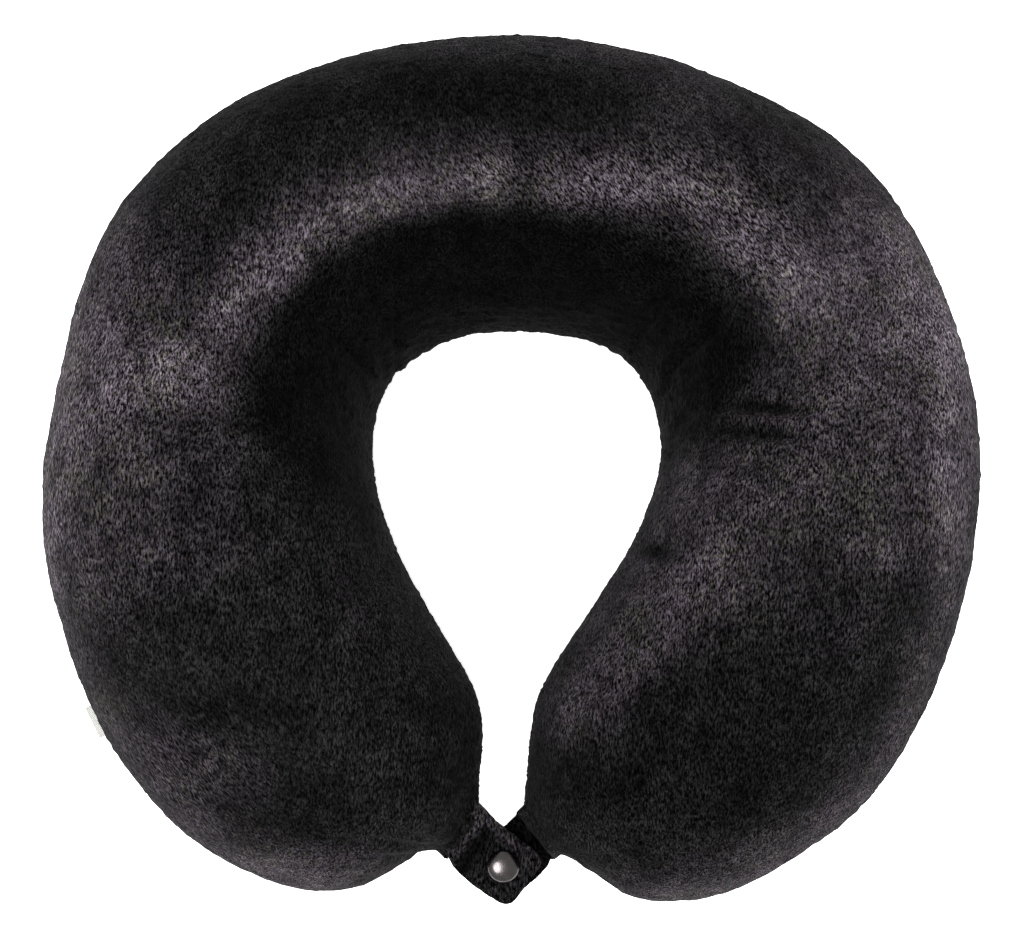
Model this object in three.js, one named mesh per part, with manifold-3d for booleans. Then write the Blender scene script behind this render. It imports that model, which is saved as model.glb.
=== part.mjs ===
// A U-shaped memory-foam neck pillow with a plush velour cover, a zip in the back seam and
// two snap straps that join the ends of its arms.
//
// Millimetres, +Z up. The pillow lies flat on its base: +Y is the back of the neck, the mouth
// of the U opens towards -Y, +X is the wearer's right. The origin is the middle of the footprint.
import * as THREE from 'three';
import { mergeVertices } from 'three/addons/utils/BufferGeometryUtils.js';
import Module from 'manifold-3d';

const wasm = await Module();
wasm.setup();

// ---- Driving dimensions -------------------------------------------------------------------

const BACK_RADIUS = 190; // outer outline of the back, a true arc that the zip runs on
const BACK_ARC_Y = -50.8; // centre of that arc
const COVER_THICKNESS = 1.6; // velour: backing and pile
const LINER_THICKNESS = 0.8; // knitted inner bag
const LAYER_GAP = 0.4;
const SEAM_Z = 20; // cover's lower seam, all round
const SEAM_GAP = 0.4;
const FLEX_GAP = 0.4; // between the back and each arm
const RING_POINTS = 16; // round one cross-section
const LOFT_STEPS = 32; // along the U, from strap to strap

const STRAP_WIDTH = 19.5;
const STRAP_THICKNESS = 2.4; // velour folded double
const STRAP_PAST_SNAP = 9.6; // from the snap's centre to the strap's free end
const STRAP_NOSE_GAP = 2.2; // from the arm's end to the strap's fold line
const SNAP_CENTRE = new THREE.Vector2(1.5, -126);
const UPPER_STRAP_Z = 52.3; // middle of the left strap
const LOWER_STRAP_Z = 43.4; // middle of the right strap

const ZIP_HALF_ANGLE = 27; // degrees each side of the back's middle
const ZIP_RADIUS = 184.9; // of the closed zip's middle line, about the back's arc centre
const ZIP_LEAN = 25; // degrees from upright, as the wall leans there
const SLIDER_ANGLE = 24; // rest position, zip closed

// Half of the U from the middle of the back to the strap. `outer` and `inner` are the widest
// points of a cross-section, `crest` and `base` its top and bottom, and `side` says how far
// its outline has turned from the back's, with its long slope to the neck, to the arm's.
// What would reach below the surface it lies on is pressed flat.
const arcPoint = (degrees) => {
  const angle = THREE.MathUtils.degToRad(degrees);
  return [BACK_RADIUS * Math.sin(angle), BACK_ARC_Y + BACK_RADIUS * Math.cos(angle)];
};
const HALF = [
  { outer: arcPoint(0), inner: [0, 44.2], crest: 82, base: -2, side: 0 },
  { outer: arcPoint(14), inner: [19, 42], crest: 82, base: -2, side: 0 },
  { outer: arcPoint(28), inner: [34.5, 34.5], crest: 83, base: -2, side: 0 },
  { outer: [117, 94], inner: [42.5, 24.2], crest: 86, base: -2, side: 0.15 },
  { outer: [134, 66.2], inner: [45.7, 11.2], crest: 92, base: -2, side: 0.45 },
  { outer: [145.2, 35], inner: [45.3, -2], crest: 101, base: -2, side: 0.8 },
  { outer: [149.8, 3], inner: [42.4, -13], crest: 107, base: -2, side: 1 },
  { outer: [148.4, -28], inner: [35.9, -28], crest: 108, base: -2, side: 1 },
  { outer: [141.8, -54], inner: [26.3, -44], crest: 107, base: -2, side: 1 },
  { outer: [132, -78], inner: [16.5, -59], crest: 104, base: -2, side: 1 },
  { outer: [117, -101.5], inner: [9.6, -72.5], crest: 101, base: -2, side: 1 },
  { outer: [97, -121], inner: [7.4, -86], crest: 96, base: -1, side: 1 },
  { outer: [72, -133.5], inner: [7.3, -95], crest: 88, base: 6, side: 1 },
  { outer: [47, -137], inner: [7.4, -101], crest: 76, base: 17, side: 1 },
  { outer: [31, -130.5], inner: [7.6, -105], crest: 66, base: 28, side: 1 },
  { outer: [20.5, -122.5], inner: [7.5, -107.5], crest: 58, base: 37, side: 1 },
];
const FLEX_STATION = 4;

// Cross-section outlines: [share of the width from inner to outer, share of the height].
const BACK_SECTION = [
  [0.5, 0], [0.68, 0], [0.8, 0.03], [0.905, 0.15], [0.97, 0.31], [1, 0.5], [0.985, 0.66],
  [0.925, 0.82], [0.81, 0.94], [0.66, 0.995], [0.52, 0.985], [0.38, 0.9], [0.24, 0.75],
  [0.11, 0.58], [0.02, 0.42], [0, 0.27], [0.035, 0.12], [0.14, 0.02], [0.3, 0],
];
const ARM_SECTION = [
  [0.5, 0], [0.68, 0], [0.8, 0.03], [0.9, 0.13], [0.972, 0.28], [1, 0.44], [0.985, 0.62],
  [0.92, 0.79], [0.8, 0.92], [0.65, 0.985], [0.5, 1], [0.35, 0.97], [0.2, 0.88],
  [0.08, 0.72], [0.015, 0.54], [0, 0.38], [0.04, 0.18], [0.14, 0.03], [0.3, 0],
];

// ---- Solids -------------------------------------------------------------------------------

// A closed body through rings of the same number of points, with a flat or fanned cap each end.
function loftGeometry(rings) {
  const count = rings[0].length;
  const positions = rings.flat().flatMap((point) => point.toArray());
  const index = [];
  for (let i = 0; i + 1 < rings.length; i += 1) {
    for (let j = 0; j < count; j += 1) {
      const a = i * count + j;
      const b = i * count + ((j + 1) % count);
      index.push(a, b, b + count, a, b + count, a + count);
    }
  }
  for (const [ring, start, flip] of [[0, 0, true], [rings.length - 1, (rings.length - 1) * count, false]]) {
    const middle = new THREE.Vector3();
    rings[ring].forEach((point) => middle.addScaledVector(point, 1 / count));
    const hub = positions.length / 3;
    positions.push(...middle.toArray());
    for (let j = 0; j < count; j += 1) {
      const a = start + j;
      const b = start + ((j + 1) % count);
      index.push(...(flip ? [b, a, hub] : [a, b, hub]));
    }
  }
  const geometry = new THREE.BufferGeometry();
  geometry.setAttribute('position', new THREE.Float32BufferAttribute(positions, 3));
  geometry.setIndex(index);
  return volumeOf(geometry) < 0 ? turnedInsideOut(geometry) : geometry;
}

function volumeOf(geometry) {
  const corners = [new THREE.Vector3(), new THREE.Vector3(), new THREE.Vector3()];
  const index = geometry.index.array;
  let six = 0;
  for (let i = 0; i < index.length; i += 3) {
    corners.forEach((corner, k) => corner.fromBufferAttribute(geometry.attributes.position, index[i + k]));
    six += corners[0].dot(corners[1].cross(corners[2]));
  }
  return six / 6;
}

function turnedInsideOut(geometry) {
  const index = Array.from(geometry.index.array);
  for (let i = 0; i < index.length; i += 3) {
    [index[i], index[i + 1]] = [index[i + 1], index[i]];
  }
  geometry.setIndex(index);
  return geometry;
}

function solid(geometry) {
  geometry.deleteAttribute('normal');
  geometry.deleteAttribute('uv');
  const merged = mergeVertices(geometry, 1e-4);
  const mesh = new wasm.Mesh({
    numProp: 3,
    vertProperties: new Float32Array(merged.attributes.position.array),
    triVerts: new Uint32Array(merged.index.array),
  });
  return new wasm.Manifold(mesh);
}

function geometryOf(body) {
  const mesh = body.getMesh();
  const geometry = new THREE.BufferGeometry();
  geometry.setAttribute('position', new THREE.BufferAttribute(new Float32Array(mesh.vertProperties), 3));
  geometry.setIndex(Array.from(mesh.triVerts));
  return geometry;
}

// A prism over an outline of [x, y] points, from one height to another.
function prism(outline, low, high) {
  const shape = new THREE.Shape(outline.map(([x, y]) => new THREE.Vector2(x, y)));
  const geometry = new THREE.ExtrudeGeometry(shape, { depth: high - low, bevelEnabled: false });
  return solid(geometry.translate(0, 0, low));
}

const mirrored = (outline) => outline.map(([x, y]) => [-x, y]).reverse();

// ---- The pillow's surface -----------------------------------------------------------------

const sectionCurve = (outline) =>
  new THREE.CatmullRomCurve3(outline.map(([across, up]) => new THREE.Vector3(across, up, 0)), true);
const backSection = sectionCurve(BACK_SECTION);
const armSection = sectionCurve(ARM_SECTION);

const mirroredStation = ({ outer, inner, ...rest }) => ({
  outer: [-outer[0], outer[1]],
  inner: [-inner[0], inner[1]],
  ...rest,
});
const STATIONS = [...HALF.slice(1).reverse().map(mirroredStation), ...HALF];

// Each line's third coordinate carries a height: the crest on the outer line, the base on the inner.
const outerLine = new THREE.CatmullRomCurve3(
  STATIONS.map(({ outer, crest }) => new THREE.Vector3(...outer, crest)),
);
const innerLine = new THREE.CatmullRomCurve3(
  STATIONS.map(({ inner, base }) => new THREE.Vector3(...inner, base)),
);

function sideShare(along) {
  const place = along * (STATIONS.length - 1);
  const low = Math.min(Math.floor(place), STATIONS.length - 2);
  return THREE.MathUtils.lerp(STATIONS[low].side, STATIONS[low + 1].side, place - low);
}

function surfacePoint(along, around) {
  const outer = outerLine.getPoint(along);
  const inner = innerLine.getPoint(along);
  const turn = ((around % 1) + 1) % 1;
  const share = backSection.getPoint(turn).lerp(armSection.getPoint(turn), sideShare(along));
  return new THREE.Vector3(
    THREE.MathUtils.lerp(inner.x, outer.x, share.x),
    THREE.MathUtils.lerp(inner.y, outer.y, share.x),
    THREE.MathUtils.lerp(inner.z, outer.z, share.y),
  );
}

function outwardNormal(along, around) {
  const step = 1e-3;
  const before = surfacePoint(Math.max(along - step, 0), around);
  const after = surfacePoint(Math.min(along + step, 1), around);
  const below = surfacePoint(along, around - step);
  const above = surfacePoint(along, around + step);
  return above.sub(below).cross(after.sub(before)).normalize();
}

function ringAt(step, depth) {
  const along = step / LOFT_STEPS;
  return Array.from({ length: RING_POINTS }, (_, j) => {
    const around = j / RING_POINTS;
    const point = surfacePoint(along, around).addScaledVector(outwardNormal(along, around), -depth);
    point.z = Math.max(point.z, depth);
    return point;
  });
}

// The pillow's body, taken in by `depth` all over. It stops short of each strap by a share of
// one loft step, so that every layer keeps the same facets as the others.
function pillowBody(depth, short = 0) {
  const rings = Array.from({ length: LOFT_STEPS + 1 }, (_, step) => ringAt(step, depth));
  const shortened = (end, next) => end.map((point, j) => point.clone().lerp(next[j], short));
  const first = shortened(rings[0], rings[1]);
  const last = shortened(rings[LOFT_STEPS], rings[LOFT_STEPS - 1]);
  return solid(loftGeometry([first, ...rings.slice(1, -1), last]));
}

// ---- Where the pillow is divided ----------------------------------------------------------

// The right arm's side of its flex plane, moved by `shift` into the arm.
function armOutline(shift) {
  const { outer, inner } = HALF[FLEX_STATION];
  const line = new THREE.Vector2(outer[0] - inner[0], outer[1] - inner[1]).normalize();
  const intoArm = new THREE.Vector2(line.y, -line.x).multiplyScalar(shift);
  const at = (distance) => [
    inner[0] + line.x * distance + intoArm.x,
    inner[1] + line.y * distance + intoArm.y,
  ];
  const far = 220;
  return [at(130), at(-25), [0, -30], [0, -far], [far, -far], [far, at(130)[1]]];
}

const TALL = [-10, 130];
const rightArmRegion = prism(armOutline(FLEX_GAP / 2), ...TALL);
const leftArmRegion = prism(mirrored(armOutline(FLEX_GAP / 2)), ...TALL);
const bothArmsRegion = prism(armOutline(-FLEX_GAP / 2), ...TALL)
  .add(prism(mirrored(armOutline(-FLEX_GAP / 2)), ...TALL));

const slab = (low, high) => prism([[-200, -200], [200, -200], [200, 200], [-200, 200]], low, high);
const aboveSeam = slab(SEAM_Z + SEAM_GAP / 2, TALL[1]);
const belowSeam = slab(TALL[0], SEAM_Z - SEAM_GAP / 2);

const group = new THREE.Group();

function add(name, geometry, { colour, roughness, metalness = 0 }) {
  const material = new THREE.MeshStandardMaterial({ color: colour, roughness, metalness });
  const mesh = new THREE.Mesh(geometry, material);
  mesh.name = name;
  group.add(mesh);
  return mesh;
}

function addInThree(name, body, finish) {
  add(`${name}_back`, geometryOf(body.subtract(bothArmsRegion)), finish);
  add(`${name}_left_arm`, geometryOf(body.intersect(leftArmRegion)), finish);
  add(`${name}_right_arm`, geometryOf(body.intersect(rightArmRegion)), finish);
}

const VELOUR = { colour: 0x17151a, roughness: 0.95 };
const KNIT = { colour: 0xb9b6ae, roughness: 0.95 };
const FOAM = { colour: 0xd8cf9e, roughness: 0.9 };
const ZIP_CLOTH = { colour: 0x121114, roughness: 0.85 };
const ZIP_COIL = { colour: 0x1a191c, roughness: 0.45 };
const GUNMETAL = { colour: 0x59575c, roughness: 0.3, metalness: 0.9 };
const LABEL = { colour: 0xdadad4, roughness: 0.8 };

// ---- Strap directions ---------------------------------------------------------------------

const strapRoot = (sign) => {
  const { outer, inner } = HALF[HALF.length - 1];
  return new THREE.Vector2((sign * (outer[0] + inner[0])) / 2, (outer[1] + inner[1]) / 2);
};

function strapFrame(sign, height) {
  const root = strapRoot(sign);
  const direction = SNAP_CENTRE.clone().sub(root).normalize();
  const fold = root.clone().addScaledVector(direction, STRAP_NOSE_GAP);
  return { fold, direction, height, reach: SNAP_CENTRE.distanceTo(fold) };
}
const leftStrap = strapFrame(-1, UPPER_STRAP_Z);
const rightStrap = strapFrame(1, LOWER_STRAP_Z);

// Places a geometry drawn with +X along the strap from its fold line, +Z up.
function placeOnStrap(geometry, { fold, direction, height }) {
  const turn = new THREE.Matrix4().makeRotationZ(Math.atan2(direction.y, direction.x));
  turn.setPosition(fold.x, fold.y, height);
  return geometry.applyMatrix4(turn);
}

// The hole in the cover's end that a strap is sewn into.
function strapTunnel(frame) {
  const box = new THREE.BoxGeometry(16, STRAP_WIDTH - 3, STRAP_THICKNESS + 1.2);
  return solid(placeOnStrap(box, frame));
}

// ---- Foam, liner and cover ----------------------------------------------------------------

// How far each layer's end stands back from the strap, as a share of a loft step.
const COVER_INSIDE_SHORT = 0.2;
const LINER_SHORT = 0.3;
const LINER_INSIDE_SHORT = 0.45;
const FOAM_SHORT = 0.55;
const linerDepth = COVER_THICKNESS + LAYER_GAP;
const foamDepth = linerDepth + LINER_THICKNESS + LAYER_GAP;
addInThree('foam_core', pillowBody(foamDepth, FOAM_SHORT), FOAM);
const linerInside = pillowBody(linerDepth + LINER_THICKNESS, LINER_INSIDE_SHORT);
addInThree('liner', pillowBody(linerDepth, LINER_SHORT).subtract(linerInside), KNIT);

const cover = pillowBody(0)
  .subtract(pillowBody(COVER_THICKNESS, COVER_INSIDE_SHORT))
  .subtract(strapTunnel(leftStrap))
  .subtract(strapTunnel(rightStrap))
  .subtract(solid(zipSweep([[-4, -6], [4, -6], [4, 4], [-4, 4]], ZIP_HALF_ANGLE + 0.5, 30)));
addInThree('cover_upper', cover.intersect(aboveSeam), VELOUR);
addInThree('cover_lower', cover.intersect(belowSeam), VELOUR);

// ---- Zip ----------------------------------------------------------------------------------

// A point of the zip's cross-section, `up` the wall and `out` from it, at an angle from the
// middle of the back, clockwise from above.
function zipPoint(up, out, degrees) {
  const lean = THREE.MathUtils.degToRad(ZIP_LEAN);
  const angle = THREE.MathUtils.degToRad(degrees);
  const radius = ZIP_RADIUS + up * Math.sin(lean) + out * Math.cos(lean);
  const height = SEAM_Z + up * Math.cos(lean) - out * Math.sin(lean);
  return new THREE.Vector3(radius * Math.sin(angle), BACK_ARC_Y + radius * Math.cos(angle), height);
}

// A cross-section of [up, out] points swept along the zip's arc.
function zipSweep(section, halfAngle, steps, middle = 0) {
  const rings = [];
  for (let i = 0; i <= steps; i += 1) {
    const degrees = middle + THREE.MathUtils.lerp(-halfAngle, halfAngle, i / steps);
    rings.push(section.map(([up, out]) => zipPoint(up, out, degrees)));
  }
  return loftGeometry(rings);
}

const flipped = (section) => section.map(([up, out]) => [-up, out]);
const TAPE = [[0.3, -0.9], [3.7, -0.9], [3.7, -0.2], [0.3, -0.2]];
const COIL = [[0.15, 0.1], [1.75, 0.1], [1.75, 0.7], [1.3, 1.2], [0.6, 1.2], [0.15, 0.7]];
add('zip_tape_upper', zipSweep(TAPE, ZIP_HALF_ANGLE, 24), ZIP_CLOTH);
add('zip_tape_lower', zipSweep(flipped(TAPE), ZIP_HALF_ANGLE, 24), ZIP_CLOTH);
const COIL_HALF_ANGLE = ZIP_HALF_ANGLE - 1;
add('zip_coil_upper', zipSweep(COIL, COIL_HALF_ANGLE, 24), ZIP_COIL);
add('zip_coil_lower', zipSweep(flipped(COIL), COIL_HALF_ANGLE, 24), ZIP_COIL);

const STOP = [[-1.7, 0.1], [1.7, 0.1], [1.7, 1.3], [-1.7, 1.3]];
const STOP_ANGLE = ZIP_HALF_ANGLE - 0.45;
add('zip_top_stop', zipSweep(STOP, 0.3, 1, STOP_ANGLE), GUNMETAL);
add('zip_bottom_stop', zipSweep(STOP, 0.3, 1, -STOP_ANGLE), GUNMETAL);

// Slider: a plate with a flange each side of the coils, and a bar on two lugs for the pull.
const BAR_OUT = 4.3;
const BAR_RADIUS = 0.45;
const SLIDER_HALF_ANGLE = 1.5;
const plate = zipSweep([[-3.4, 1.6], [3.4, 1.6], [3.4, 2.6], [-3.4, 2.6]], SLIDER_HALF_ANGLE, 2, SLIDER_ANGLE);
const flange = [[2.6, 0.1], [3.4, 0.1], [3.4, 1.9], [2.6, 1.9]];
const lug = [[-1, 2.3], [1, 2.3], [0.8, BAR_OUT + 0.6], [-0.8, BAR_OUT + 0.6]];
const LUG_ANGLE = 0.85;
const barMiddle = zipPoint(0, BAR_OUT, SLIDER_ANGLE);
const sliderTurn = THREE.MathUtils.degToRad(SLIDER_ANGLE);
const bar = new THREE.CylinderGeometry(BAR_RADIUS, BAR_RADIUS, 5.6, 10)
  .rotateZ(Math.PI / 2 - sliderTurn)
  .translate(...barMiddle.toArray());
const slider = [
  zipSweep(flange, SLIDER_HALF_ANGLE, 2, SLIDER_ANGLE),
  zipSweep(flipped(flange), SLIDER_HALF_ANGLE, 2, SLIDER_ANGLE),
  zipSweep(lug, 0.15, 1, SLIDER_ANGLE - LUG_ANGLE),
  zipSweep(lug, 0.15, 1, SLIDER_ANGLE + LUG_ANGLE),
  bar,
].reduce((body, piece) => body.add(solid(piece)), solid(plate));
add('zip_slider', geometryOf(slider), GUNMETAL);

// Pull: a flat tag with an eye round the bar, hanging straight down.
const PULL_LENGTH = 12.5;
const PULL_EYE = 0.85;
const PULL_HEAD = 1.4;
const PULL_THICKNESS = 2.4;
const TAG_HALF_THICKNESS = 0.45;
const HEAD_BOTTOM = -1.75;
const pullSide = new THREE.Shape();
pullSide.moveTo(-TAG_HALF_THICKNESS, HEAD_BOTTOM);
pullSide.lineTo(-TAG_HALF_THICKNESS, -PULL_LENGTH);
pullSide.lineTo(TAG_HALF_THICKNESS, -PULL_LENGTH);
pullSide.lineTo(TAG_HALF_THICKNESS, HEAD_BOTTOM);
pullSide.lineTo(PULL_HEAD, 0);
pullSide.absarc(0, 0, PULL_HEAD, 0, Math.PI, false);
pullSide.holes.push(new THREE.Path().absarc(0, 0, PULL_EYE, 0, 2 * Math.PI, true));
const pull = new THREE.ExtrudeGeometry(pullSide, {
  depth: PULL_THICKNESS,
  bevelEnabled: false,
  curveSegments: 6,
});
pull.translate(0, 0, -PULL_THICKNESS / 2);
// Drawn with x outwards and y up: stand it up, then turn it to the slider's place.
const standing = new THREE.Matrix4().makeBasis(
  new THREE.Vector3(Math.sin(sliderTurn), Math.cos(sliderTurn), 0),
  new THREE.Vector3(0, 0, 1),
  new THREE.Vector3(Math.cos(sliderTurn), -Math.sin(sliderTurn), 0),
);
standing.setPosition(barMiddle);
add('zip_pull', geometryOf(solid(pull.applyMatrix4(standing))), GUNMETAL);

// ---- Straps and snap ----------------------------------------------------------------------

const SHANK_RADIUS = 1;
const SHANK_HOLE = 1.35;

// A strap with a round fold at its root and a hole for the snap's shank.
function strapGeometry(frame) {
  const half = STRAP_THICKNESS / 2;
  const length = frame.reach + STRAP_PAST_SNAP;
  const side = new THREE.Shape();
  side.moveTo(0, -half);
  side.lineTo(length, -half);
  side.lineTo(length, half);
  side.lineTo(0, half);
  side.absarc(0, 0, half, Math.PI / 2, 1.5 * Math.PI, false);
  const flat = new THREE.ExtrudeGeometry(side, { depth: STRAP_WIDTH, bevelEnabled: false, curveSegments: 5 });
  flat.translate(0, 0, -STRAP_WIDTH / 2).rotateX(Math.PI / 2);
  const hole = new THREE.CylinderGeometry(SHANK_HOLE, SHANK_HOLE, 10, 16)
    .rotateX(Math.PI / 2)
    .translate(frame.reach, 0, 0);
  return placeOnStrap(geometryOf(solid(flat).subtract(solid(hole))), frame);
}
add('tab_left', strapGeometry(leftStrap), VELOUR);
add('tab_right', strapGeometry(rightStrap), VELOUR);

// A round snap piece from a profile of [radius, height above the strap's middle].
function snapPiece(name, profile, frame) {
  const points = profile.map(([radius, height]) => new THREE.Vector2(radius, height));
  const lathe = new THREE.LatheGeometry(points, 18).rotateX(Math.PI / 2).translate(frame.reach, 0, 0);
  const merged = solid(lathe);
  add(name, placeOnStrap(geometryOf(merged), frame), GUNMETAL);
}

const UPPER_FACE = STRAP_THICKNESS / 2;
snapPiece('snap_cap', [
  [0, UPPER_FACE - STRAP_THICKNESS],
  [SHANK_RADIUS, UPPER_FACE - STRAP_THICKNESS],
  [SHANK_RADIUS, UPPER_FACE + 0.3],
  [4.9, UPPER_FACE + 0.3],
  [5.3, UPPER_FACE + 0.6],
  [5.1, UPPER_FACE + 1.1],
  [4, UPPER_FACE + 1.9],
  [2.2, UPPER_FACE + 2.5],
  [0, UPPER_FACE + 2.7],
], leftStrap);

const SOCKET_TOP = -UPPER_FACE - 0.3;
const SOCKET_BOTTOM = SOCKET_TOP - 2.6;
snapPiece('snap_socket', [
  [0, SOCKET_BOTTOM + 1.9],
  [2.6, SOCKET_BOTTOM + 1.9],
  [2.6, SOCKET_BOTTOM + 1.6],
  [3.4, SOCKET_BOTTOM + 1.6],
  [3.4, SOCKET_BOTTOM + 0.9],
  [2.6, SOCKET_BOTTOM + 0.9],
  [2.6, SOCKET_BOTTOM],
  [4.6, SOCKET_BOTTOM],
  [5, SOCKET_BOTTOM + 0.4],
  [5, SOCKET_TOP - 0.4],
  [4.6, SOCKET_TOP],
  [0, SOCKET_TOP],
], leftStrap);

// The socket's wire spring: most of a ring, open on one side.
const WIRE_RADIUS = 0.25;
const WIRE_RING_RADIUS = 2.75;
const springRings = Array.from({ length: 21 }, (_, i) => {
  const angle = THREE.MathUtils.degToRad(30 + 15 * i);
  return Array.from({ length: 6 }, (__, j) => {
    const round = (j / 6) * 2 * Math.PI;
    const radius = WIRE_RING_RADIUS + WIRE_RADIUS * Math.cos(round);
    const height = SOCKET_BOTTOM + 1.25 + WIRE_RADIUS * Math.sin(round);
    return new THREE.Vector3(leftStrap.reach + radius * Math.cos(angle), radius * Math.sin(angle), height);
  });
});
add('snap_spring', placeOnStrap(loftGeometry(springRings), leftStrap), GUNMETAL);

snapPiece('snap_stud', [
  [0, UPPER_FACE + 0.3],
  [5, UPPER_FACE + 0.3],
  [5, UPPER_FACE + 0.7],
  [4.6, UPPER_FACE + 1],
  [1.5, UPPER_FACE + 1],
  [1.3, UPPER_FACE + 1.5],
  [1.8, UPPER_FACE + 2.2],
  [1.5, UPPER_FACE + 3],
  [0.8, UPPER_FACE + 3.3],
  [0, UPPER_FACE + 3.3],
], rightStrap);

snapPiece('snap_post', [
  [0, -UPPER_FACE - 1.1],
  [4.2, -UPPER_FACE - 1.1],
  [4.7, -UPPER_FACE - 0.7],
  [4.7, -UPPER_FACE - 0.3],
  [SHANK_RADIUS, -UPPER_FACE - 0.3],
  [SHANK_RADIUS, UPPER_FACE],
  [0, UPPER_FACE],
], rightStrap);

// ---- Care label ---------------------------------------------------------------------------

const LABEL_PLACE = new THREE.Vector2(-125, -79); // where it leaves the left arm's seam
const LABEL_ANGLE = 212.6; // degrees, straight out of the wall there
const LABEL_LENGTH = 8.5;
const label = new THREE.BoxGeometry(LABEL_LENGTH, 12, 0.7)
  .translate(LABEL_LENGTH / 2, 0, 0)
  .rotateZ(THREE.MathUtils.degToRad(LABEL_ANGLE))
  .translate(LABEL_PLACE.x, LABEL_PLACE.y, SEAM_Z);
add('care_label', label, LABEL);

export default group;
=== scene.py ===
# The looks of a U-shaped velour neck pillow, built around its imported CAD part.
#
# Shapes are worked out in millimetres, in the part's own frame, and become metres where a mesh
# is made. Every cover point is known by two shares: `along` the U from the left strap to the
# right one, and `around` its cross-section from the middle of the base by way of the outer wall.
import math

import bpy
import numpy as np
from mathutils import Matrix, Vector, noise


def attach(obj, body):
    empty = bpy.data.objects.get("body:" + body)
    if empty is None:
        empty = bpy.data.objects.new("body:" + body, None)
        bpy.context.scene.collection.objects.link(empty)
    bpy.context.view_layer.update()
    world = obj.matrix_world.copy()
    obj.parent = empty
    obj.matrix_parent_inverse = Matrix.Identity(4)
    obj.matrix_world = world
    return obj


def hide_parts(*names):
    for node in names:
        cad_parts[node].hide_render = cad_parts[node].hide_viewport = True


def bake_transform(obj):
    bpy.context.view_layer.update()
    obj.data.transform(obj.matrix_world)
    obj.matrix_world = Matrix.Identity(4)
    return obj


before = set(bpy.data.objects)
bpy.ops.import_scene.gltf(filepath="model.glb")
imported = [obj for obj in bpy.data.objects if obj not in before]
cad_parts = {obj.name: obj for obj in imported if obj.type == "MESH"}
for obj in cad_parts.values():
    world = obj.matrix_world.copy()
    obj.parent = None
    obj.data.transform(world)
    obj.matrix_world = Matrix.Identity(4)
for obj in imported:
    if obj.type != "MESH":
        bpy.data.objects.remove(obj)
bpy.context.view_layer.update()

MM = 0.001
SEED = 7

# ---- The pillow's shape: the same stations and sections as the CAD part ----

BACK_RADIUS = 190
BACK_ARC_Y = -50.8


def arc_point(degrees):
    angle = math.radians(degrees)
    return (BACK_RADIUS * math.sin(angle), BACK_ARC_Y + BACK_RADIUS * math.cos(angle))


# Half of the U from the middle of the back to the strap:
# outer point, inner point, crest height, base height, share turned from back to arm section.
HALF = [
    (arc_point(0), (0, 44.2), 82, -2, 0),
    (arc_point(14), (19, 42), 82, -2, 0),
    (arc_point(28), (34.5, 34.5), 83, -2, 0),
    ((117, 94), (42.5, 24.2), 86, -2, 0.15),
    ((134, 66.2), (45.7, 11.2), 92, -2, 0.45),
    ((145.2, 35), (45.3, -2), 101, -2, 0.8),
    ((149.8, 3), (42.4, -13), 107, -2, 1),
    ((148.4, -28), (35.9, -28), 108, -2, 1),
    ((141.8, -54), (26.3, -44), 107, -2, 1),
    ((132, -78), (16.5, -59), 104, -2, 1),
    ((117, -101.5), (9.6, -72.5), 101, -2, 1),
    ((97, -121), (7.4, -86), 96, -1, 1),
    ((72, -133.5), (7.3, -95), 88, 6, 1),
    ((47, -137), (7.4, -101), 76, 17, 1),
    ((31, -130.5), (7.6, -105), 66, 28, 1),
    ((20.5, -122.5), (7.5, -107.5), 58, 37, 1),
]
FLEX_STATION = 4
# Cross-section outlines: share of the width from inner to outer, share of the height.
BACK_SECTION = [
    (0.5, 0), (0.68, 0), (0.8, 0.03), (0.905, 0.15), (0.97, 0.31), (1, 0.5), (0.985, 0.66),
    (0.925, 0.82), (0.81, 0.94), (0.66, 0.995), (0.52, 0.985), (0.38, 0.9), (0.24, 0.75),
    (0.11, 0.58), (0.02, 0.42), (0, 0.27), (0.035, 0.12), (0.14, 0.02), (0.3, 0),
]
ARM_SECTION = [
    (0.5, 0), (0.68, 0), (0.8, 0.03), (0.9, 0.13), (0.972, 0.28), (1, 0.44), (0.985, 0.62),
    (0.92, 0.79), (0.8, 0.92), (0.65, 0.985), (0.5, 1), (0.35, 0.97), (0.2, 0.88),
    (0.08, 0.72), (0.015, 0.54), (0, 0.38), (0.04, 0.18), (0.14, 0.03), (0.3, 0),
]

SEAM_Z = 20
ZIP_HALF_ANGLE = 27
ZIP_RADIUS = 184.9
ZIP_LEAN = math.radians(25)
ZIP_OPENING = 2.6  # from the zip's middle line to each edge of the cover

ROWS = 401  # rings along the U, odd so that one lies on the middle of the back
UPPER_COLUMNS = 150
LOWER_COLUMNS = 56
END_ROWS = 8  # rings that round off each end on to its strap
FINE_STEPS = 3001  # for measuring the length of the U


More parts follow.
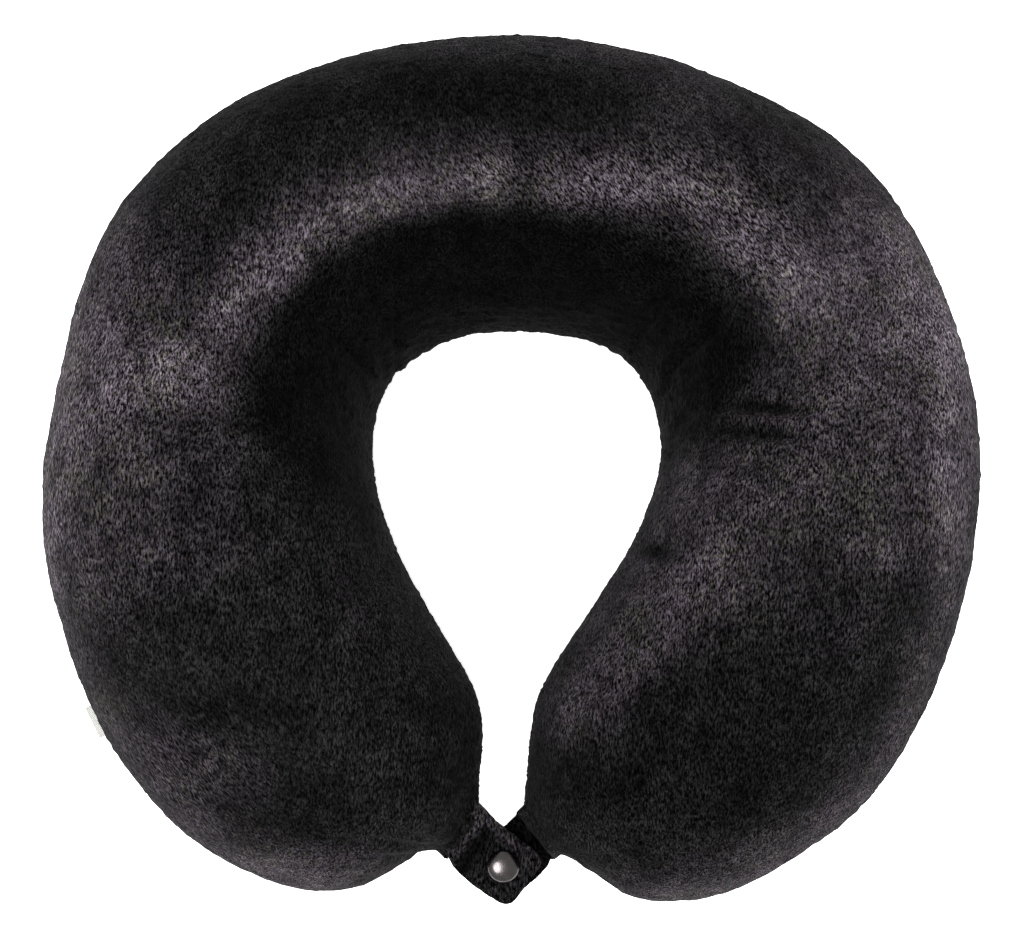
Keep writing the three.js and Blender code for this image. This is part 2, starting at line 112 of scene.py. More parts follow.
def spline(points, share, closed=False):
    """A centripetal Catmull-Rom curve through the points, at shares of its run of points."""
    points = np.asarray(points, float)
    count = len(points)
    place = np.asarray(share, float) * (count if closed else count - 1)
    low = np.floor(place).astype(int)
    if closed:
        near = [points[(low + k) % count] for k in (-1, 0, 1, 2)]
    else:
        low = np.clip(low, 0, count - 2)
        longer = np.vstack([2 * points[0] - points[1], points, 2 * points[-1] - points[-2]])
        near = [longer[low + k] for k in range(4)]
    x0, x1, x2, x3 = near
    d0, d1, d2 = (
        np.maximum(np.linalg.norm(b - a, axis=-1, keepdims=True), 1e-9) ** 0.5
        for a, b in zip(near, near[1:])
    )
    t1 = ((x1 - x0) / d0 - (x2 - x0) / (d0 + d1) + (x2 - x1) / d1) * d1
    t2 = ((x2 - x1) / d1 - (x3 - x1) / (d1 + d2) + (x3 - x2) / d2) * d1
    w = (place - low)[..., None]
    return x1 + t1 * w + (3 * (x2 - x1) - 2 * t1 - t2) * w**2 + (2 * (x1 - x2) + t1 + t2) * w**3


def whole_line(pick):
    """Both sides of the U, left end to right end, from what `pick` reads at each station."""
    right = [pick(*station) for station in HALF]
    left = [(-p[0], *p[1:]) for p in right[:0:-1]]
    return np.array(left + right, float)


OUTER = whole_line(lambda outer, inner, crest, base, side: (*outer, crest))
INNER = whole_line(lambda outer, inner, crest, base, side: (*inner, base))
SIDE = np.array([s[4] for s in HALF[:0:-1]] + [s[4] for s in HALF], float)


# Local pushes that make the two sides differ: middle x and y, reach, and the push in x and y.
PUSHES = [
    (-148, 24, 26, 3.3, 0), (-148, -16, 24, 1, 0),
    (-140, -54, 20, 1, 0.3), (-127, 74, 18, -0.9, 0.6),
    (72, 120, 20, -0.5, -0.9), (149, -28, 36, -2, 0),
    (138, -68, 20, -0.6, 0.3), (-36, -134, 16, 0, 2.9),
    (26, -132, 12, -0.4, 2.6), (52, -138, 16, 0, 1),
    (94, -121, 20, -1.3, 1.9), (46, 4, 26, 2.3, 0.3),
    (36, -32, 22, 1.9, 0), (30, 38, 18, 1.5, 1.4),
    (-32, 34, 18, 0.8, -1.1), (-28, -52, 22, -1.5, 0),
    (-26, -128, 8, 0, 1.8), (-15, -120, 6, 0.8, -3),
    (17, -121, 6, -0.8, -1.6), (-45, 4, 28, 1.2, 0),
    (-38, -28, 22, -0.4, 0), (0, 44, 20, 0, -0.4),
    (20, -60, 18, 1.9, 0), (10, -84, 18, 1.1, 0),
    (-9, -84, 22, 0.5, 0),
]


def bell(distance, reach):
    """One in the middle, fading out over the reach."""
    return np.exp(-((distance / reach) ** 2))


def smoothstep(x):
    x = np.clip(x, 0, 1)
    return x * x * (3 - 2 * x)


def turn_at(points):
    """Degrees about the back's arc, from the middle of the back."""
    return np.degrees(np.arctan2(points[..., 0], points[..., 1] - BACK_ARC_Y))


def pushed(points):
    moved = points.copy()
    for x, y, reach, push_x, push_y in PUSHES:
        share = bell(np.hypot(points[..., 0] - x, points[..., 1] - y), reach)
        moved[..., 0] += share * push_x
        moved[..., 1] += share * push_y
    return moved


def surface(along, around):
    """Smooth cover points, with the base pressed flat on the floor."""
    outer, inner = spline(OUTER, along), spline(INNER, along)
    turn = np.mod(around, 1)
    side = np.interp(along * (len(SIDE) - 1), np.arange(len(SIDE)), SIDE)[..., None]
    share = spline(BACK_SECTION, turn, True) * (1 - side) + spline(ARM_SECTION, turn, True) * side
    flat = inner[..., :2] + (outer - inner)[..., :2] * share[..., :1]
    height = inner[..., 2:] + (outer - inner)[..., 2:] * share[..., 1:]
    return pushed(np.concatenate([flat, np.maximum(height, 0)], axis=-1))


def unit(v):
    return v / np.maximum(np.linalg.norm(v, axis=-1, keepdims=True), 1e-9)


def outward(along, around):
    step = 1e-3
    after, before = np.minimum(along + step, 1), np.maximum(along - step, 0)
    ahead = surface(after, around) - surface(before, around)
    across = surface(along, around + step) - surface(along, around - step)
    return unit(np.cross(across, ahead))


def even_shares(rows):
    """Shares along the U at equal distances on its middle line."""
    fine = np.linspace(0, 1, FINE_STEPS)
    middle = (spline(OUTER, fine) + spline(INNER, fine))[:, :2] / 2
    run = np.concatenate([[0], np.cumsum(np.linalg.norm(np.diff(middle, axis=0), axis=1))])
    return np.interp(np.linspace(0, run[-1], rows), run, fine), run[-1]


# ---- Straps: the same frames as the CAD part ----

SNAP_CENTRE = np.array([1.5, -126.0])
STRAP_WIDTH = 19.5
STRAP_PAST_SNAP = 9.6
STRAP_NOSE_GAP = 2.2
STRAP_THICKNESS = 2.4
STRAP_HEIGHT = {"left": 52.3, "right": 43.4}
SIGN = {"left": -1, "right": 1}


class Strap:
    """A strap's own frame: x along it from its fold line, y across, z up from its middle."""

    def __init__(self, side):
        outer, inner = HALF[-1][0], HALF[-1][1]
        self.root = np.array([SIGN[side] * (outer[0] + inner[0]) / 2, (outer[1] + inner[1]) / 2])
        self.direction = unit(SNAP_CENTRE - self.root)
        self.fold = self.root + STRAP_NOSE_GAP * self.direction
        self.reach = np.linalg.norm(SNAP_CENTRE - self.fold)
        self.height = STRAP_HEIGHT[side]

    def place(self, points):
        x, y, z = np.moveaxis(np.asarray(points, float), -1, 0)
        dx, dy = self.direction
        across, up_the_photo = self.fold
        return np.stack(
            [across + x * dx - y * dy, up_the_photo + x * dy + y * dx, self.height + z], -1
        )


STRAPS = {side: Strap(side) for side in ("left", "right")}

# ---- Painted nap, sheen and shade: the pile's own light and dark patches, with painted highlights and shadows, seen from above ----

# Middle x and y, half-length, half-width, turn in degrees, grey level that it leaves, strength.
# Besides the pile's own patches, the strokes paint sheen on the flanks and rims and shade on slopes
# turned from the light.
NAP_SHEEN_AND_SHADE_STROKES = [
    (-10, 116, 100, 14, 0, 0.055, 1.0), (0, 134, 70, 7, 0, 0.13, 0.8),
    (50, 122, 30, 12, -22, 0.16, 0.8), (60, 104, 40, 8, -14, 0.15, 0.8),
    (-10, 103, 60, 5, 0, 0.10, 0.8), (-70, 108, 34, 14, 28, 0.085, 0.9),
    (-105, 84, 24, 14, 50, 0.11, 0.9), (-128, 62, 20, 12, 64, 0.20, 0.9),
    (-112, 56, 14, 14, 0, 0.17, 0.8), (-136, 24, 40, 16, 85, 0.31, 1.0),
    (-110, 24, 22, 16, 0, 0.34, 0.95), (-120, 0, 24, 16, 10, 0.24, 0.8),
    (-95, 4, 14, 12, 0, 0.16, 0.8), (-132, -30, 30, 16, 95, 0.22, 0.9),
    (-112, -22, 20, 16, 0, 0.21, 0.8), (-84, -20, 22, 16, 0, 0.14, 0.8),
    (-60, -10, 20, 14, 0, 0.07, 0.9), (-46, -48, 16, 7, 110, 0.13, 0.7),
    (-96, -92, 24, 10, -14, 0.20, 0.8), (-92, -116, 46, 12, -30, 0.20, 0.8),
    (-60, -124, 40, 8, -6, 0.18, 0.8), (124, 56, 40, 18, -62, 0.34, 1.0),
    (104, 52, 26, 18, -60, 0.26, 0.8), (104, 24, 26, 16, 0, 0.24, 0.9),
    (132, 14, 22, 10, 90, 0.22, 0.9), (98, 4, 34, 14, 0, 0.24, 0.8),
    (60, -6, 22, 12, 0, 0.24, 0.95), (70, 14, 20, 6, 0, 0.12, 0.7),
    (118, -18, 24, 12, 0, 0.22, 0.8), (60, -26, 28, 13, 0, 0.23, 0.95),
    (50, -44, 24, 14, 48, 0.29, 1.0), (34, -60, 22, 12, 62, 0.29, 1.0),
    (22, -76, 14, 9, 70, 0.27, 0.95), (100, -46, 34, 14, 0, 0.13, 0.9),
    (76, -72, 44, 20, -10, 0.075, 1.0), (50, -96, 44, 16, -6, 0.075, 1.0),
    (112, -92, 20, 12, -50, 0.12, 0.8), (78, -124, 54, 13, 18, 0.20, 0.9),
    (46, -24, 5, 3, 0, 0.04, 1.0), (-144, -20, 60, 7, 88, 0.34, 0.9),
    (136, 14, 52, 8, 92, 0.33, 0.85), (128, -66, 44, 8, 72, 0.20, 0.8),
    (-66, -130, 34, 9, -8, 0.28, 0.9), (66, -133, 34, 8, 10, 0.26, 0.9),
    (-118, -84, 30, 8, -52, 0.24, 0.8), (104, -106, 30, 8, 50, 0.24, 0.8),
    (86, 52, 15, 9, -62, 0.29, 0.9), (71, 71, 15, 8, -44, 0.28, 0.85),
    # These three strokes paint shade into the two creases near x 76 and a highlight on the ridge
    # between them.
    (76, 18, 13, 2.0, -4, 0.20, 0.8), (77, 21.8, 12, 1.7, -4, 0.03, 0.9),
    (75, 13.8, 13, 1.8, -4, 0.03, 0.9),
]
# A painted highlight runs along the crest, where the pile's sheen catches the light.
CREST_SHEEN_LINE = [
    (-90, 44), (-83, 54), (-68, 70), (-48, 82), (-24, 90), (0, 91),
    (24, 91), (50, 89), (68, 83), (80, 72), (86, 62),
]
CREST_SHEEN_HALF_WIDTH = 10
CREST_SHEEN_LEVEL = 0.30
CREST_SHEEN_BREAK = (2, 92, 7, 20, 0.55)  # a darker gap in the painted highlight on the crest: x, y, half-sizes, strength
SHADOW_OUTLINE = [
    (-80, 26), (-74, 46), (-60, 63), (-42, 74), (-20, 80), (0, 81), (22, 79),
    (42, 74), (56, 64), (66, 50), (72, 36), (66, 22), (54, 10), (44, -2),
    (40, -20), (0, 0), (-42, -20), (-52, -10), (-66, 0), (-82, 10),
]
SHADOW_EDGE = 10  # width over which the shadow fades
SHADOW_LEVEL = 0.035
BASE_LEVEL = 0.10
STROKE_EDGE = 1.3  # above one, a stroke is flatter in the middle and sharper at its edge
UNDER_LEVEL = 0.095
UNDER_PATCHES = (0.035, 26)  # strength and size of the clouds on the underside
UNDER_BAND = (5, 21)  # heights between which the underside's level fades out
LEAN_SPOTS = [(20, 92, 70, 24), (-98, -98, 40, 34), (60, 70, 40, 26)]  # x, y, half-sizes


def from_display(level):
    """Linear reflectance for a grey level as a screen shows it."""
    level = np.asarray(level, float)
    return np.where(level <= 0.04045, level / 12.92, ((level + 0.055) / 1.055) ** 2.4)


def distance_to_line(x, y, line):
    best = np.full(x.shape, 1e9)
    for (ax, ay), (bx, by) in zip(line, line[1:]):
        ux, uy = bx - ax, by - ay
        t = np.clip(((x - ax) * ux + (y - ay) * uy) / (ux * ux + uy * uy), 0, 1)
        best = np.minimum(best, np.hypot(x - ax - t * ux, y - ay - t * uy))
    return best


def inside_outline(x, y, outline):
    inside = np.zeros(x.shape, bool)
    for (ax, ay), (bx, by) in zip(outline, outline[1:] + outline[:1]):
        crosses = (ay > y) != (by > y)
        with np.errstate(divide="ignore", invalid="ignore"):
            at = ax + (y - ay) * (bx - ax) / (by - ay if by != ay else 1e-9)
        inside ^= crosses & (x < at)
    return inside


def in_stroke(x, y, stroke):
    """Place along and across a turned stroke, in shares of its half-length and half-width."""
    cx, cy, length, width, turn = stroke
    c, s = math.cos(math.radians(turn)), math.sin(math.radians(turn))
    return ((x - cx) * c + (y - cy) * s) / length, ((y - cy) * c - (x - cx) * s) / width


def roughened(points, scale, seed):
    """Soft noise between minus one and one, with features of the given size."""
    offset = Vector((seed * 17.3, seed * 5.1, seed * 9.7))
    return np.array([noise.noise(Vector(p) / scale + offset) for p in points])


def nap_sheen_and_shade_level(points):
    """Grey level of the pile at each point, from the strokes laid on the pillow from above, with a
    painted highlight along the crest and painted shadow on the inner slope.
    """
    x, y = points[:, 0], points[:, 1]
    level = np.full(len(points), BASE_LEVEL)
    for *stroke, target, strength in NAP_SHEEN_AND_SHADE_STROKES:
        p, q = in_stroke(x, y, stroke)
        share = strength * np.exp(-((p * p + q * q) ** STROKE_EDGE))
        level += share * (target - level)
    crest = bell(distance_to_line(x, y, CREST_SHEEN_LINE), CREST_SHEEN_HALF_WIDTH)
    break_x, break_y, half_x, half_y, strength = CREST_SHEEN_BREAK
    crest *= 1 - strength * bell(x - break_x, half_x) * bell(y - break_y, half_y)
    level += crest * (CREST_SHEEN_LEVEL - level)
    edge = distance_to_line(x, y, SHADOW_OUTLINE + SHADOW_OUTLINE[:1])
    depth = np.where(inside_outline(x, y, SHADOW_OUTLINE), edge, -edge)
    shadow = smoothstep(0.5 + depth / SHADOW_EDGE)
    level += shadow * (SHADOW_LEVEL - level)
    low, high = UNDER_BAND
    below = 1 - smoothstep((points[:, 2] - low) / (high - low))
    strength, size = UNDER_PATCHES
    return level + below * (UNDER_LEVEL + strength * roughened(points, size, 6) - level)


def pile_lean(points):
    """How far the pile leans over to the left instead of lying along the pillow."""
    x, y = points[:, 0], points[:, 1]
    spots = [bell(x - cx, a) * bell(y - cy, b) for cx, cy, a, b in LEAN_SPOTS]
    return np.clip(sum(spots), 0, 1)


# ---- Node materials ----


class Nodes:
    """A short way to write a node tree."""

    def __init__(self, name):
        self.material = bpy.data.materials.new(name)
        self.material.use_nodes = True
        self.tree = self.material.node_tree
        self.shader = self.tree.nodes["Principled BSDF"]

    def add(self, kind, **settings):
        node = self.tree.nodes.new(kind)
        for key, value in settings.items():
            setattr(node, key, value)
        return node

    def link(self, source, target):
        if isinstance(source, (int, float, tuple)):
            target.default_value = source
        else:
            self.tree.links.new(source, target)

    def fill(self, node, **sockets):
        for name, value in sockets.items():
            self.link(value, node.inputs[name.replace("_", " ")])

    def attribute(self, name, output="Fac"):
        return self.add("ShaderNodeAttribute", attribute_name=name).outputs[output]

    def math(self, operation, a, b):
        node = self.add("ShaderNodeMath", operation=operation)
        self.link(a, node.inputs[0])
        self.link(b, node.inputs[1])
        return node.outputs[0]

    def times(self, a, b):
        return self.math("MULTIPLY", a, b)

    def mapping(self, vector, size, turn=0.0):
        """Coordinates measured in features of the given size, turned about the upright."""
        node = self.add("ShaderNodeMapping", vector_type="TEXTURE")
        self.fill(node, Vector=vector, Rotation=(0, 0, math.radians(turn)), Scale=size)
        return node.outputs[0]

    def noise(self, vector, detail=2.0, roughness=0.5):
        """Noise with features of about one unit of the coordinates."""
        node = self.add("ShaderNodeTexNoise")
        self.fill(node, Vector=vector, Scale=1.0, Detail=detail, Roughness=roughness)
        return node.outputs["Fac"]

    def remap(self, value, low, high, to_low, to_high):
        node = self.add("ShaderNodeMapRange", interpolation_type="SMOOTHSTEP")
        self.fill(node, Value=value, From_Min=low, From_Max=high, To_Min=to_low, To_Max=to_high)
        return node.outputs["Result"]

    def spread(self, value, to_low, to_high):
        """Takes the usual range of a noise or wave to the given one."""
        return self.remap(value, 0.3, 0.7, to_low, to_high)

    def mix(self, share, a, b):
        node = self.add("ShaderNodeMix", data_type="RGBA")
        self.fill(node, Factor=share, A=a, B=b)
        return node.outputs["Result"]

    def tinted(self, colour, value):
        """A colour multiplied by a number."""
        node = self.add("ShaderNodeVectorMath", operation="SCALE")
        self.link(colour, node.inputs[0])
        self.link(value, node.inputs["Scale"])
        return node.outputs[0]

    def bump(self, height, distance, strength):
        node = self.add("ShaderNodeBump")
        self.fill(node, Strength=strength, Distance=distance * MM, Height=height)
        self.link(node.outputs[0], self.shader.inputs["Normal"])

    def set(self, **sockets):
        self.fill(self.shader, **sockets)
        return self.material


LIGHT_LEVEL = 2.2  # what a reflectance of one would reach under the lights
FIBRE_SIZE = (0.56, 1.7, 0.62)  # across, along and up
TUFT_SIZE = (3.2, 4.6, 3.2)
BRUSHED_SIZE = (13, 17, 13)
LEAN_TURN = 34  # degrees from the pile's usual way where it leans over


def velour_material():
    n = Nodes("velour")
    rest = n.attribute("rest", "Vector")
    straight, leaning = (
        n.noise(n.mapping(rest, FIBRE_SIZE, turn), detail=4.0, roughness=0.62)
        for turn in (0.0, LEAN_TURN)
    )
    grain = n.add("ShaderNodeMix", data_type="FLOAT")
    n.fill(grain, Factor=n.attribute("lean"), A=straight, B=leaning)
    pile = grain.outputs["Result"]
    fibres = n.times(n.math("POWER", n.remap(pile, 0.32, 0.72, 0.0, 1.0), 1.7), 4.2)
    tufts = n.spread(n.noise(n.mapping(rest, TUFT_SIZE)), 0.72, 1.3)
    brushing = n.noise(n.mapping(rest, BRUSHED_SIZE), detail=3.0, roughness=0.6)
    brushed = n.spread(brushing, 0.62, 1.4)
    # The per-point grey level brings painted sheen and shade into the colour, together with the pile's
    # own patches.
    level = n.times(n.attribute("nap_sheen_and_shade"), n.times(fibres, n.times(tufts, brushed)))
    hue = n.noise(n.mapping(rest, (1.6, 2.6, 1.6)), detail=1.5)
    wide_hue = n.noise(n.mapping(rest, (19, 19, 19)), detail=1.0)
    violet, olive, neutral = (1.05, 0.88, 1.07, 1), (1.08, 1.0, 0.9, 1), (1, 1, 1, 1)
    either = n.remap(n.math("ADD", hue, n.times(wide_hue, 0.6)), 0.7, 1.1, 0.0, 1.0)
    glint = n.mix(either, violet, olive)
    tint = n.mix(n.remap(n.attribute("nap_sheen_and_shade"), 0.0, 0.012, 0.0, 1.0), neutral, glint)
    n.bump(pile, 0.55, 0.8)
    n.set(Sheen_Weight=0.012, Sheen_Roughness=0.45, Sheen_Tint=(0.8, 0.74, 0.82, 1))
    return n.set(
        Base_Color=n.tinted(tint, level), Roughness=n.spread(pile, 0.95, 0.72), Specular_IOR_Level=0.02
    )


def metal_material(name, colour, roughness):
    n = Nodes(name)
    place = n.add("ShaderNodeTexCoord").outputs["Object"]
    fine = n.noise(n.mapping(place, (0.35 * MM,) * 3), detail=3.0)
    wide = n.noise(n.mapping(place, (2.4 * MM,) * 3), detail=2.0)
    worn = tuple(c * 1.35 for c in colour[:3]) + (1,)
    shade = n.mix(n.remap(wide, 0.45, 0.7, 0.0, 0.6), colour, worn)
    n.bump(fine, 0.008, 0.35)
    polish = n.spread(fine, roughness * 0.75, roughness * 1.5)
    return n.set(Base_Color=shade, Metallic=1.0, Roughness=polish)


WAVE_SCALE = 0.314  # a wave texture of this scale repeats once in each unit


def woven_material(name, colour, pitch, roughness=0.9):
    """Plain weave: two sets of threads crossing, in the mesh's own rest coordinates."""
    n = Nodes(name)
    rest = n.attribute("rest", "Vector")
    warp = n.add("ShaderNodeTexWave", wave_type="BANDS", bands_direction="X")
    weft = n.add("ShaderNodeTexWave", wave_type="BANDS", bands_direction="DIAGONAL")
    for wave in (warp, weft):
        n.fill(wave, Vector=rest, Scale=WAVE_SCALE / pitch, Distortion=0.6, Detail_Scale=1.5)
    threads = n.times(warp.outputs["Fac"], weft.outputs["Fac"])
    fuzz = n.noise(n.mapping(rest, (0.5, 0.5, 0.5)), detail=2.0)
    level = n.times(n.remap(threads, 0.0, 0.8, 0.45, 1.15), n.spread(fuzz, 0.8, 1.15))
    n.bump(threads, 0.18, 0.7)
    worn = n.spread(fuzz, roughness, roughness - 0.12)
    return n.set(Base_Color=n.tinted(colour, level), Roughness=worn, Specular_IOR_Level=0.12)


def foam_material():
    n = Nodes("foam")
    rest = n.attribute("rest", "Vector")
    cells = n.add("ShaderNodeTexVoronoi", feature="F1")
    n.fill(cells, Vector=rest, Scale=1.6)
    patch = n.noise(n.mapping(rest, (30, 30, 30)), detail=2.0)
    open_cell = cells.outputs["Distance"]
    level = n.times(n.remap(open_cell, 0.0, 0.6, 0.7, 1.05), n.spread(patch, 0.9, 1.05))
    n.bump(open_cell, 0.35, 0.6)
    return n.set(Base_Color=n.tinted((0.72, 0.62, 0.36), level), Roughness=n.spread(patch, 0.95, 0.85))


def nylon_material():
    n = Nodes("nylon_coil")
    rest = n.attribute("rest", "Vector")
    grain = n.noise(n.mapping(rest, (0.3, 0.3, 0.3)), detail=2.0)
    n.bump(grain, 0.03, 0.4)
    colour = n.tinted((0.009, 0.0085, 0.0095), n.spread(grain, 0.8, 1.4))
    return n.set(Base_Color=colour, Roughness=n.spread(grain, 0.34, 0.5), Specular_IOR_Level=0.3)


VELOUR = velour_material()
KNIT = woven_material("liner_knit", (0.5, 0.48, 0.44), 1.1)
FOAM = foam_material()
TAPE = woven_material("zip_tape", (0.01, 0.0095, 0.011), 0.7)
NYLON = nylon_material()
LABEL = woven_material("label_satin", (0.78, 0.78, 0.74), 0.35, 0.7)
GUNMETAL = metal_material("gunmetal", (0.11, 0.1, 0.1, 1), 0.2)
NICKEL = metal_material("dark_nickel", (0.2, 0.19, 0.19, 1), 0.28)
STEEL = metal_material("spring_steel", (0.42, 0.41, 0.4, 1), 0.25)


# ---- Meshes ----


def shown(name, data):
    thing = bpy.data.objects.new(name, data)
    bpy.context.scene.collection.objects.link(thing)
    return thing


def mesh_object(name, points, faces, material, attributes=None, normals=None):
    """A shown mesh from millimetre points. `rest` keeps each point's place for its textures."""
    mesh = bpy.data.meshes.new(name)
    mesh.from_pydata((np.asarray(points) * MM).tolist(), [], [list(map(int, f)) for f in faces])
    mesh.update()
    rest = mesh.attributes.new("rest", "FLOAT_VECTOR", "POINT")
    rest.data.foreach_set("vector", np.asarray(points, np.float32).ravel())
    for key, values in (attributes or {}).items():
        made = mesh.attributes.new(key, "FLOAT", "POINT")
        made.data.foreach_set("value", np.asarray(values, np.float32))
    mesh.polygons.foreach_set("use_smooth", np.ones(len(mesh.polygons), bool))
    if normals is not None:
        mesh.normals_split_custom_set_from_vertices(np.asarray(normals, float).tolist())
    mesh.materials.append(material)
    return shown(name, mesh)


def grid_faces(rows, columns, wrap=False):
    steps = columns if wrap else columns - 1
    i, j = np.meshgrid(np.arange(rows - 1), np.arange(steps), indexing="ij")
    a = i * columns + j
    b = i * columns + (j + 1) % columns
    return np.stack([a, b, b + columns, a + columns], -1).reshape(-1, 4)


def keyed(points):
    """Whole numbers that are equal for points that coincide."""
    return np.round(points / 1e-4).astype(np.int64)


def welded(points, faces):
    """Points that coincide become one, and faces that collapse lose their repeated corners."""
    keys = keyed(points)
    _, first, index = np.unique(keys, axis=0, return_index=True, return_inverse=True)
    order = np.argsort(first)
    place = np.empty_like(order)
    place[order] = np.arange(len(order))
    index = place[index.ravel()]
    kept = []
    for face in index[np.asarray(faces)]:
        corners = [c for k, c in enumerate(face) if c != face[k - 1]]
        if len(set(corners)) >= 3:
            kept.append(corners)
    return points[first[order]], kept


def closed_loft(rings):
    """Points and faces of a closed body through rings, with a fan at each end."""
    rings = np.asarray(rings, float)
    rows, columns = rings.shape[:2]
    points = np.vstack([rings.reshape(-1, 3), rings[0].mean(0), rings[-1].mean(0)])
    hub = rows * columns
    faces = [list(f) for f in grid_faces(rows, columns, True)]
    for j in range(columns):
        k = (j + 1) % columns
        last = hub - columns
        faces += [[k, j, hub], [last + j, last + k, hub + 1]]
    return points, faces


def facing_out(points, faces):
    """The same faces, turned over if the body they close would have a negative volume."""
    volume = 0.0
    for f in faces:
        for k in range(1, len(f) - 1):
            volume += points[f[0]] @ np.cross(points[f[k]], points[f[k + 1]])
    return faces if volume > 0 else [list(f)[::-1] for f in faces]


def closed_body(name, rings, material, attributes=None):
    points, faces = closed_loft(rings)
    return mesh_object(name, points, facing_out(points, faces), material, attributes)


# ---- Where the cover is cut ----

MOUTH_PAST_FOLD = 1.2  # how far past a strap's fold the cover's rounded end reaches
MOUTH_HALF_WIDTH, MOUTH_HALF_HEIGHT = 9.6, 2.0  # of the hole that the strap comes out of
END_BULGE = 2.5
FINE_TURNS = 1441
SEAM_HALF_GAP = 0.1
ZIP_END_CUT, ZIP_END_EASE = 1.2, 1.6  # degrees by which the zip's slot overruns and closes
SEAM_END_HEIGHT = 7  # the seams close where the base comes this near to their height
SEAM_END_RUN = 26  # and ease in over this length


def end_rings(side, rings_end, columns_around):
    """Rings that round the cover's end off on to its strap, outermost last."""
    strap = STRAPS[side]
    share = (spline(ARM_SECTION, np.mod(columns_around, 1), True) - 0.5) * 2
    width_axis = unit(np.array(HALF[-1][0]) - np.array(HALF[-1][1])) * (SIGN[side], 1)
    mouth = np.zeros((len(columns_around), 3))
    middle = strap.fold + MOUTH_PAST_FOLD * strap.direction
    mouth[:, :2] = middle + share[:, :1] * MOUTH_HALF_WIDTH * width_axis
    mouth[:, 2] = strap.height + share[:, 1] * MOUTH_HALF_HEIGHT
    made = []
    for k in range(1, END_ROWS + 1):
        turn = math.radians(90 * k / END_ROWS)
        inward, onward = 1 - math.cos(turn), math.sin(turn)
        ring = rings_end + (mouth - rings_end) * inward
        ring[:, :2] += strap.direction * (onward - inward) * END_BULGE
        made.append(ring)
    return made


ALONG, LENGTH = even_shares(ROWS)
RUN = np.linspace(-LENGTH / 2, LENGTH / 2, ROWS)  # distance from the middle of the back


def seam_shares():
    """Where the lower seam crosses each ring: on the outer wall and on the inner one."""
    fine = np.linspace(0, 1, FINE_TURNS)
    heights = surface(ALONG[:, None], fine[None, :])[..., 2]
    turn = np.abs(turn_at(spline(OUTER, ALONG)))
    opened = smoothstep((ZIP_HALF_ANGLE + ZIP_END_CUT - turn) / ZIP_END_EASE)
    room = SEAM_Z - SEAM_END_HEIGHT - spline(INNER, ALONG)[ROWS // 2 :, 2]
    closing = np.interp(0, room[::-1], RUN[ROWS // 2 :][::-1])
    ease = np.sqrt(np.clip((closing - np.abs(RUN)) / SEAM_END_RUN, 0, 1))
    half = len(fine) // 2
    result = {}
    for name, way in (("upper", 1), ("lower", -1)):
        wall_edge = SEAM_Z + way * (SEAM_HALF_GAP + opened * ZIP_OPENING * math.cos(ZIP_LEAN))
        inner_edge = SEAM_Z + way * SEAM_HALF_GAP
        out, into = np.empty(ROWS), np.empty(ROWS)
        for i in range(ROWS):
            out[i] = fine[np.argmax(heights[i, :half] > wall_edge[i])]
            into[i] = fine[len(fine) - 1 - np.argmax(heights[i, ::-1][:half] > inner_edge)]
        result[name] = (out * ease, 1 - (1 - into) * ease)
    return result, ease


SEAMS, CLOSING = seam_shares()


# ---- Cloth simulation of the stuffed cover ----

SIM_ROWS, SIM_COLUMNS = 129, 64
SIM_FRAMES = 20
SIM_INSET = 0.8  # the cover starts this much too small and swells
SIM_SETTLE = 0.3  # how much of that it keeps once stuffed
SIM_LIMIT = 3.0  # farthest that a point may move
SIM_END_ROWS = 3  # rings held at each end
SIM_FLOOR_BAND, SIM_FLOOR_HOLD = 1.0, 0.8  # height of the points that the floor holds, and how much
CLOTH_SETTINGS = {
    "quality": 6,
    "mass": 0.1,
    "tension_stiffness": 20,
    "compression_stiffness": 20,
    "shear_stiffness": 5,
    "bending_stiffness": 0.5,
    "use_pressure": True,
    "uniform_pressure_force": 200,
    "vertex_group_mass": "held",
}


def simulated_swell():
    """How far each point of a coarse cover moves as it fills out, by shares along and around."""
    along, _ = even_shares(SIM_ROWS)
    around = np.arange(SIM_COLUMNS) / SIM_COLUMNS
    a, r = np.meshgrid(along, around, indexing="ij")
    start = surface(a, r) - outward(a, r) * SIM_INSET
    points, faces = closed_loft(start)
    thing = mesh_object("swelling_cover", points, facing_out(points, faces), VELOUR)
    held = thing.vertex_groups.new(name="held")
    row = np.arange(len(points)) // SIM_COLUMNS
    at_end = (row < SIM_END_ROWS) | (row >= SIM_ROWS - SIM_END_ROWS)
    on_floor = (points[:, 2] < SIM_FLOOR_BAND + SIM_INSET) & ~at_end
    for chosen, weight in ((at_end, 1.0), (on_floor, SIM_FLOOR_HOLD)):
        held.add(np.flatnonzero(chosen).tolist(), weight, "REPLACE")
    cloth = thing.modifiers.new("swell", "CLOTH")
    for key, value in CLOTH_SETTINGS.items():
        setattr(cloth.settings, key, value)
    cloth.settings.effector_weights.gravity = 0
    cloth.collision_settings.use_collision = False
    scene = bpy.context.scene
    scene.frame_start, scene.frame_end = 1, SIM_FRAMES
    cloth.point_cache.frame_start, cloth.point_cache.frame_end = 1, SIM_FRAMES
    for step in range(1, SIM_FRAMES + 1):
        scene.frame_set(step)
    shape = thing.evaluated_get(bpy.context.evaluated_depsgraph_get()).to_mesh()
    moved = np.array([v.co for v in shape.vertices]) / MM
    scene.frame_set(1)
    bpy.data.objects.remove(thing)
    move = (moved - points)[: SIM_ROWS * SIM_COLUMNS].reshape(SIM_ROWS, SIM_COLUMNS, 3)
    far = np.linalg.norm(move, axis=-1, keepdims=True)
    print("swell: mean %.2f mm, farthest %.2f mm" % (far.mean(), far.max()))
    move *= np.minimum(1, SIM_LIMIT / np.maximum(far, 1e-6))
    return along, move - outward(a, r) * SIM_SETTLE


SWELL_ALONG, SWELL = simulated_swell()


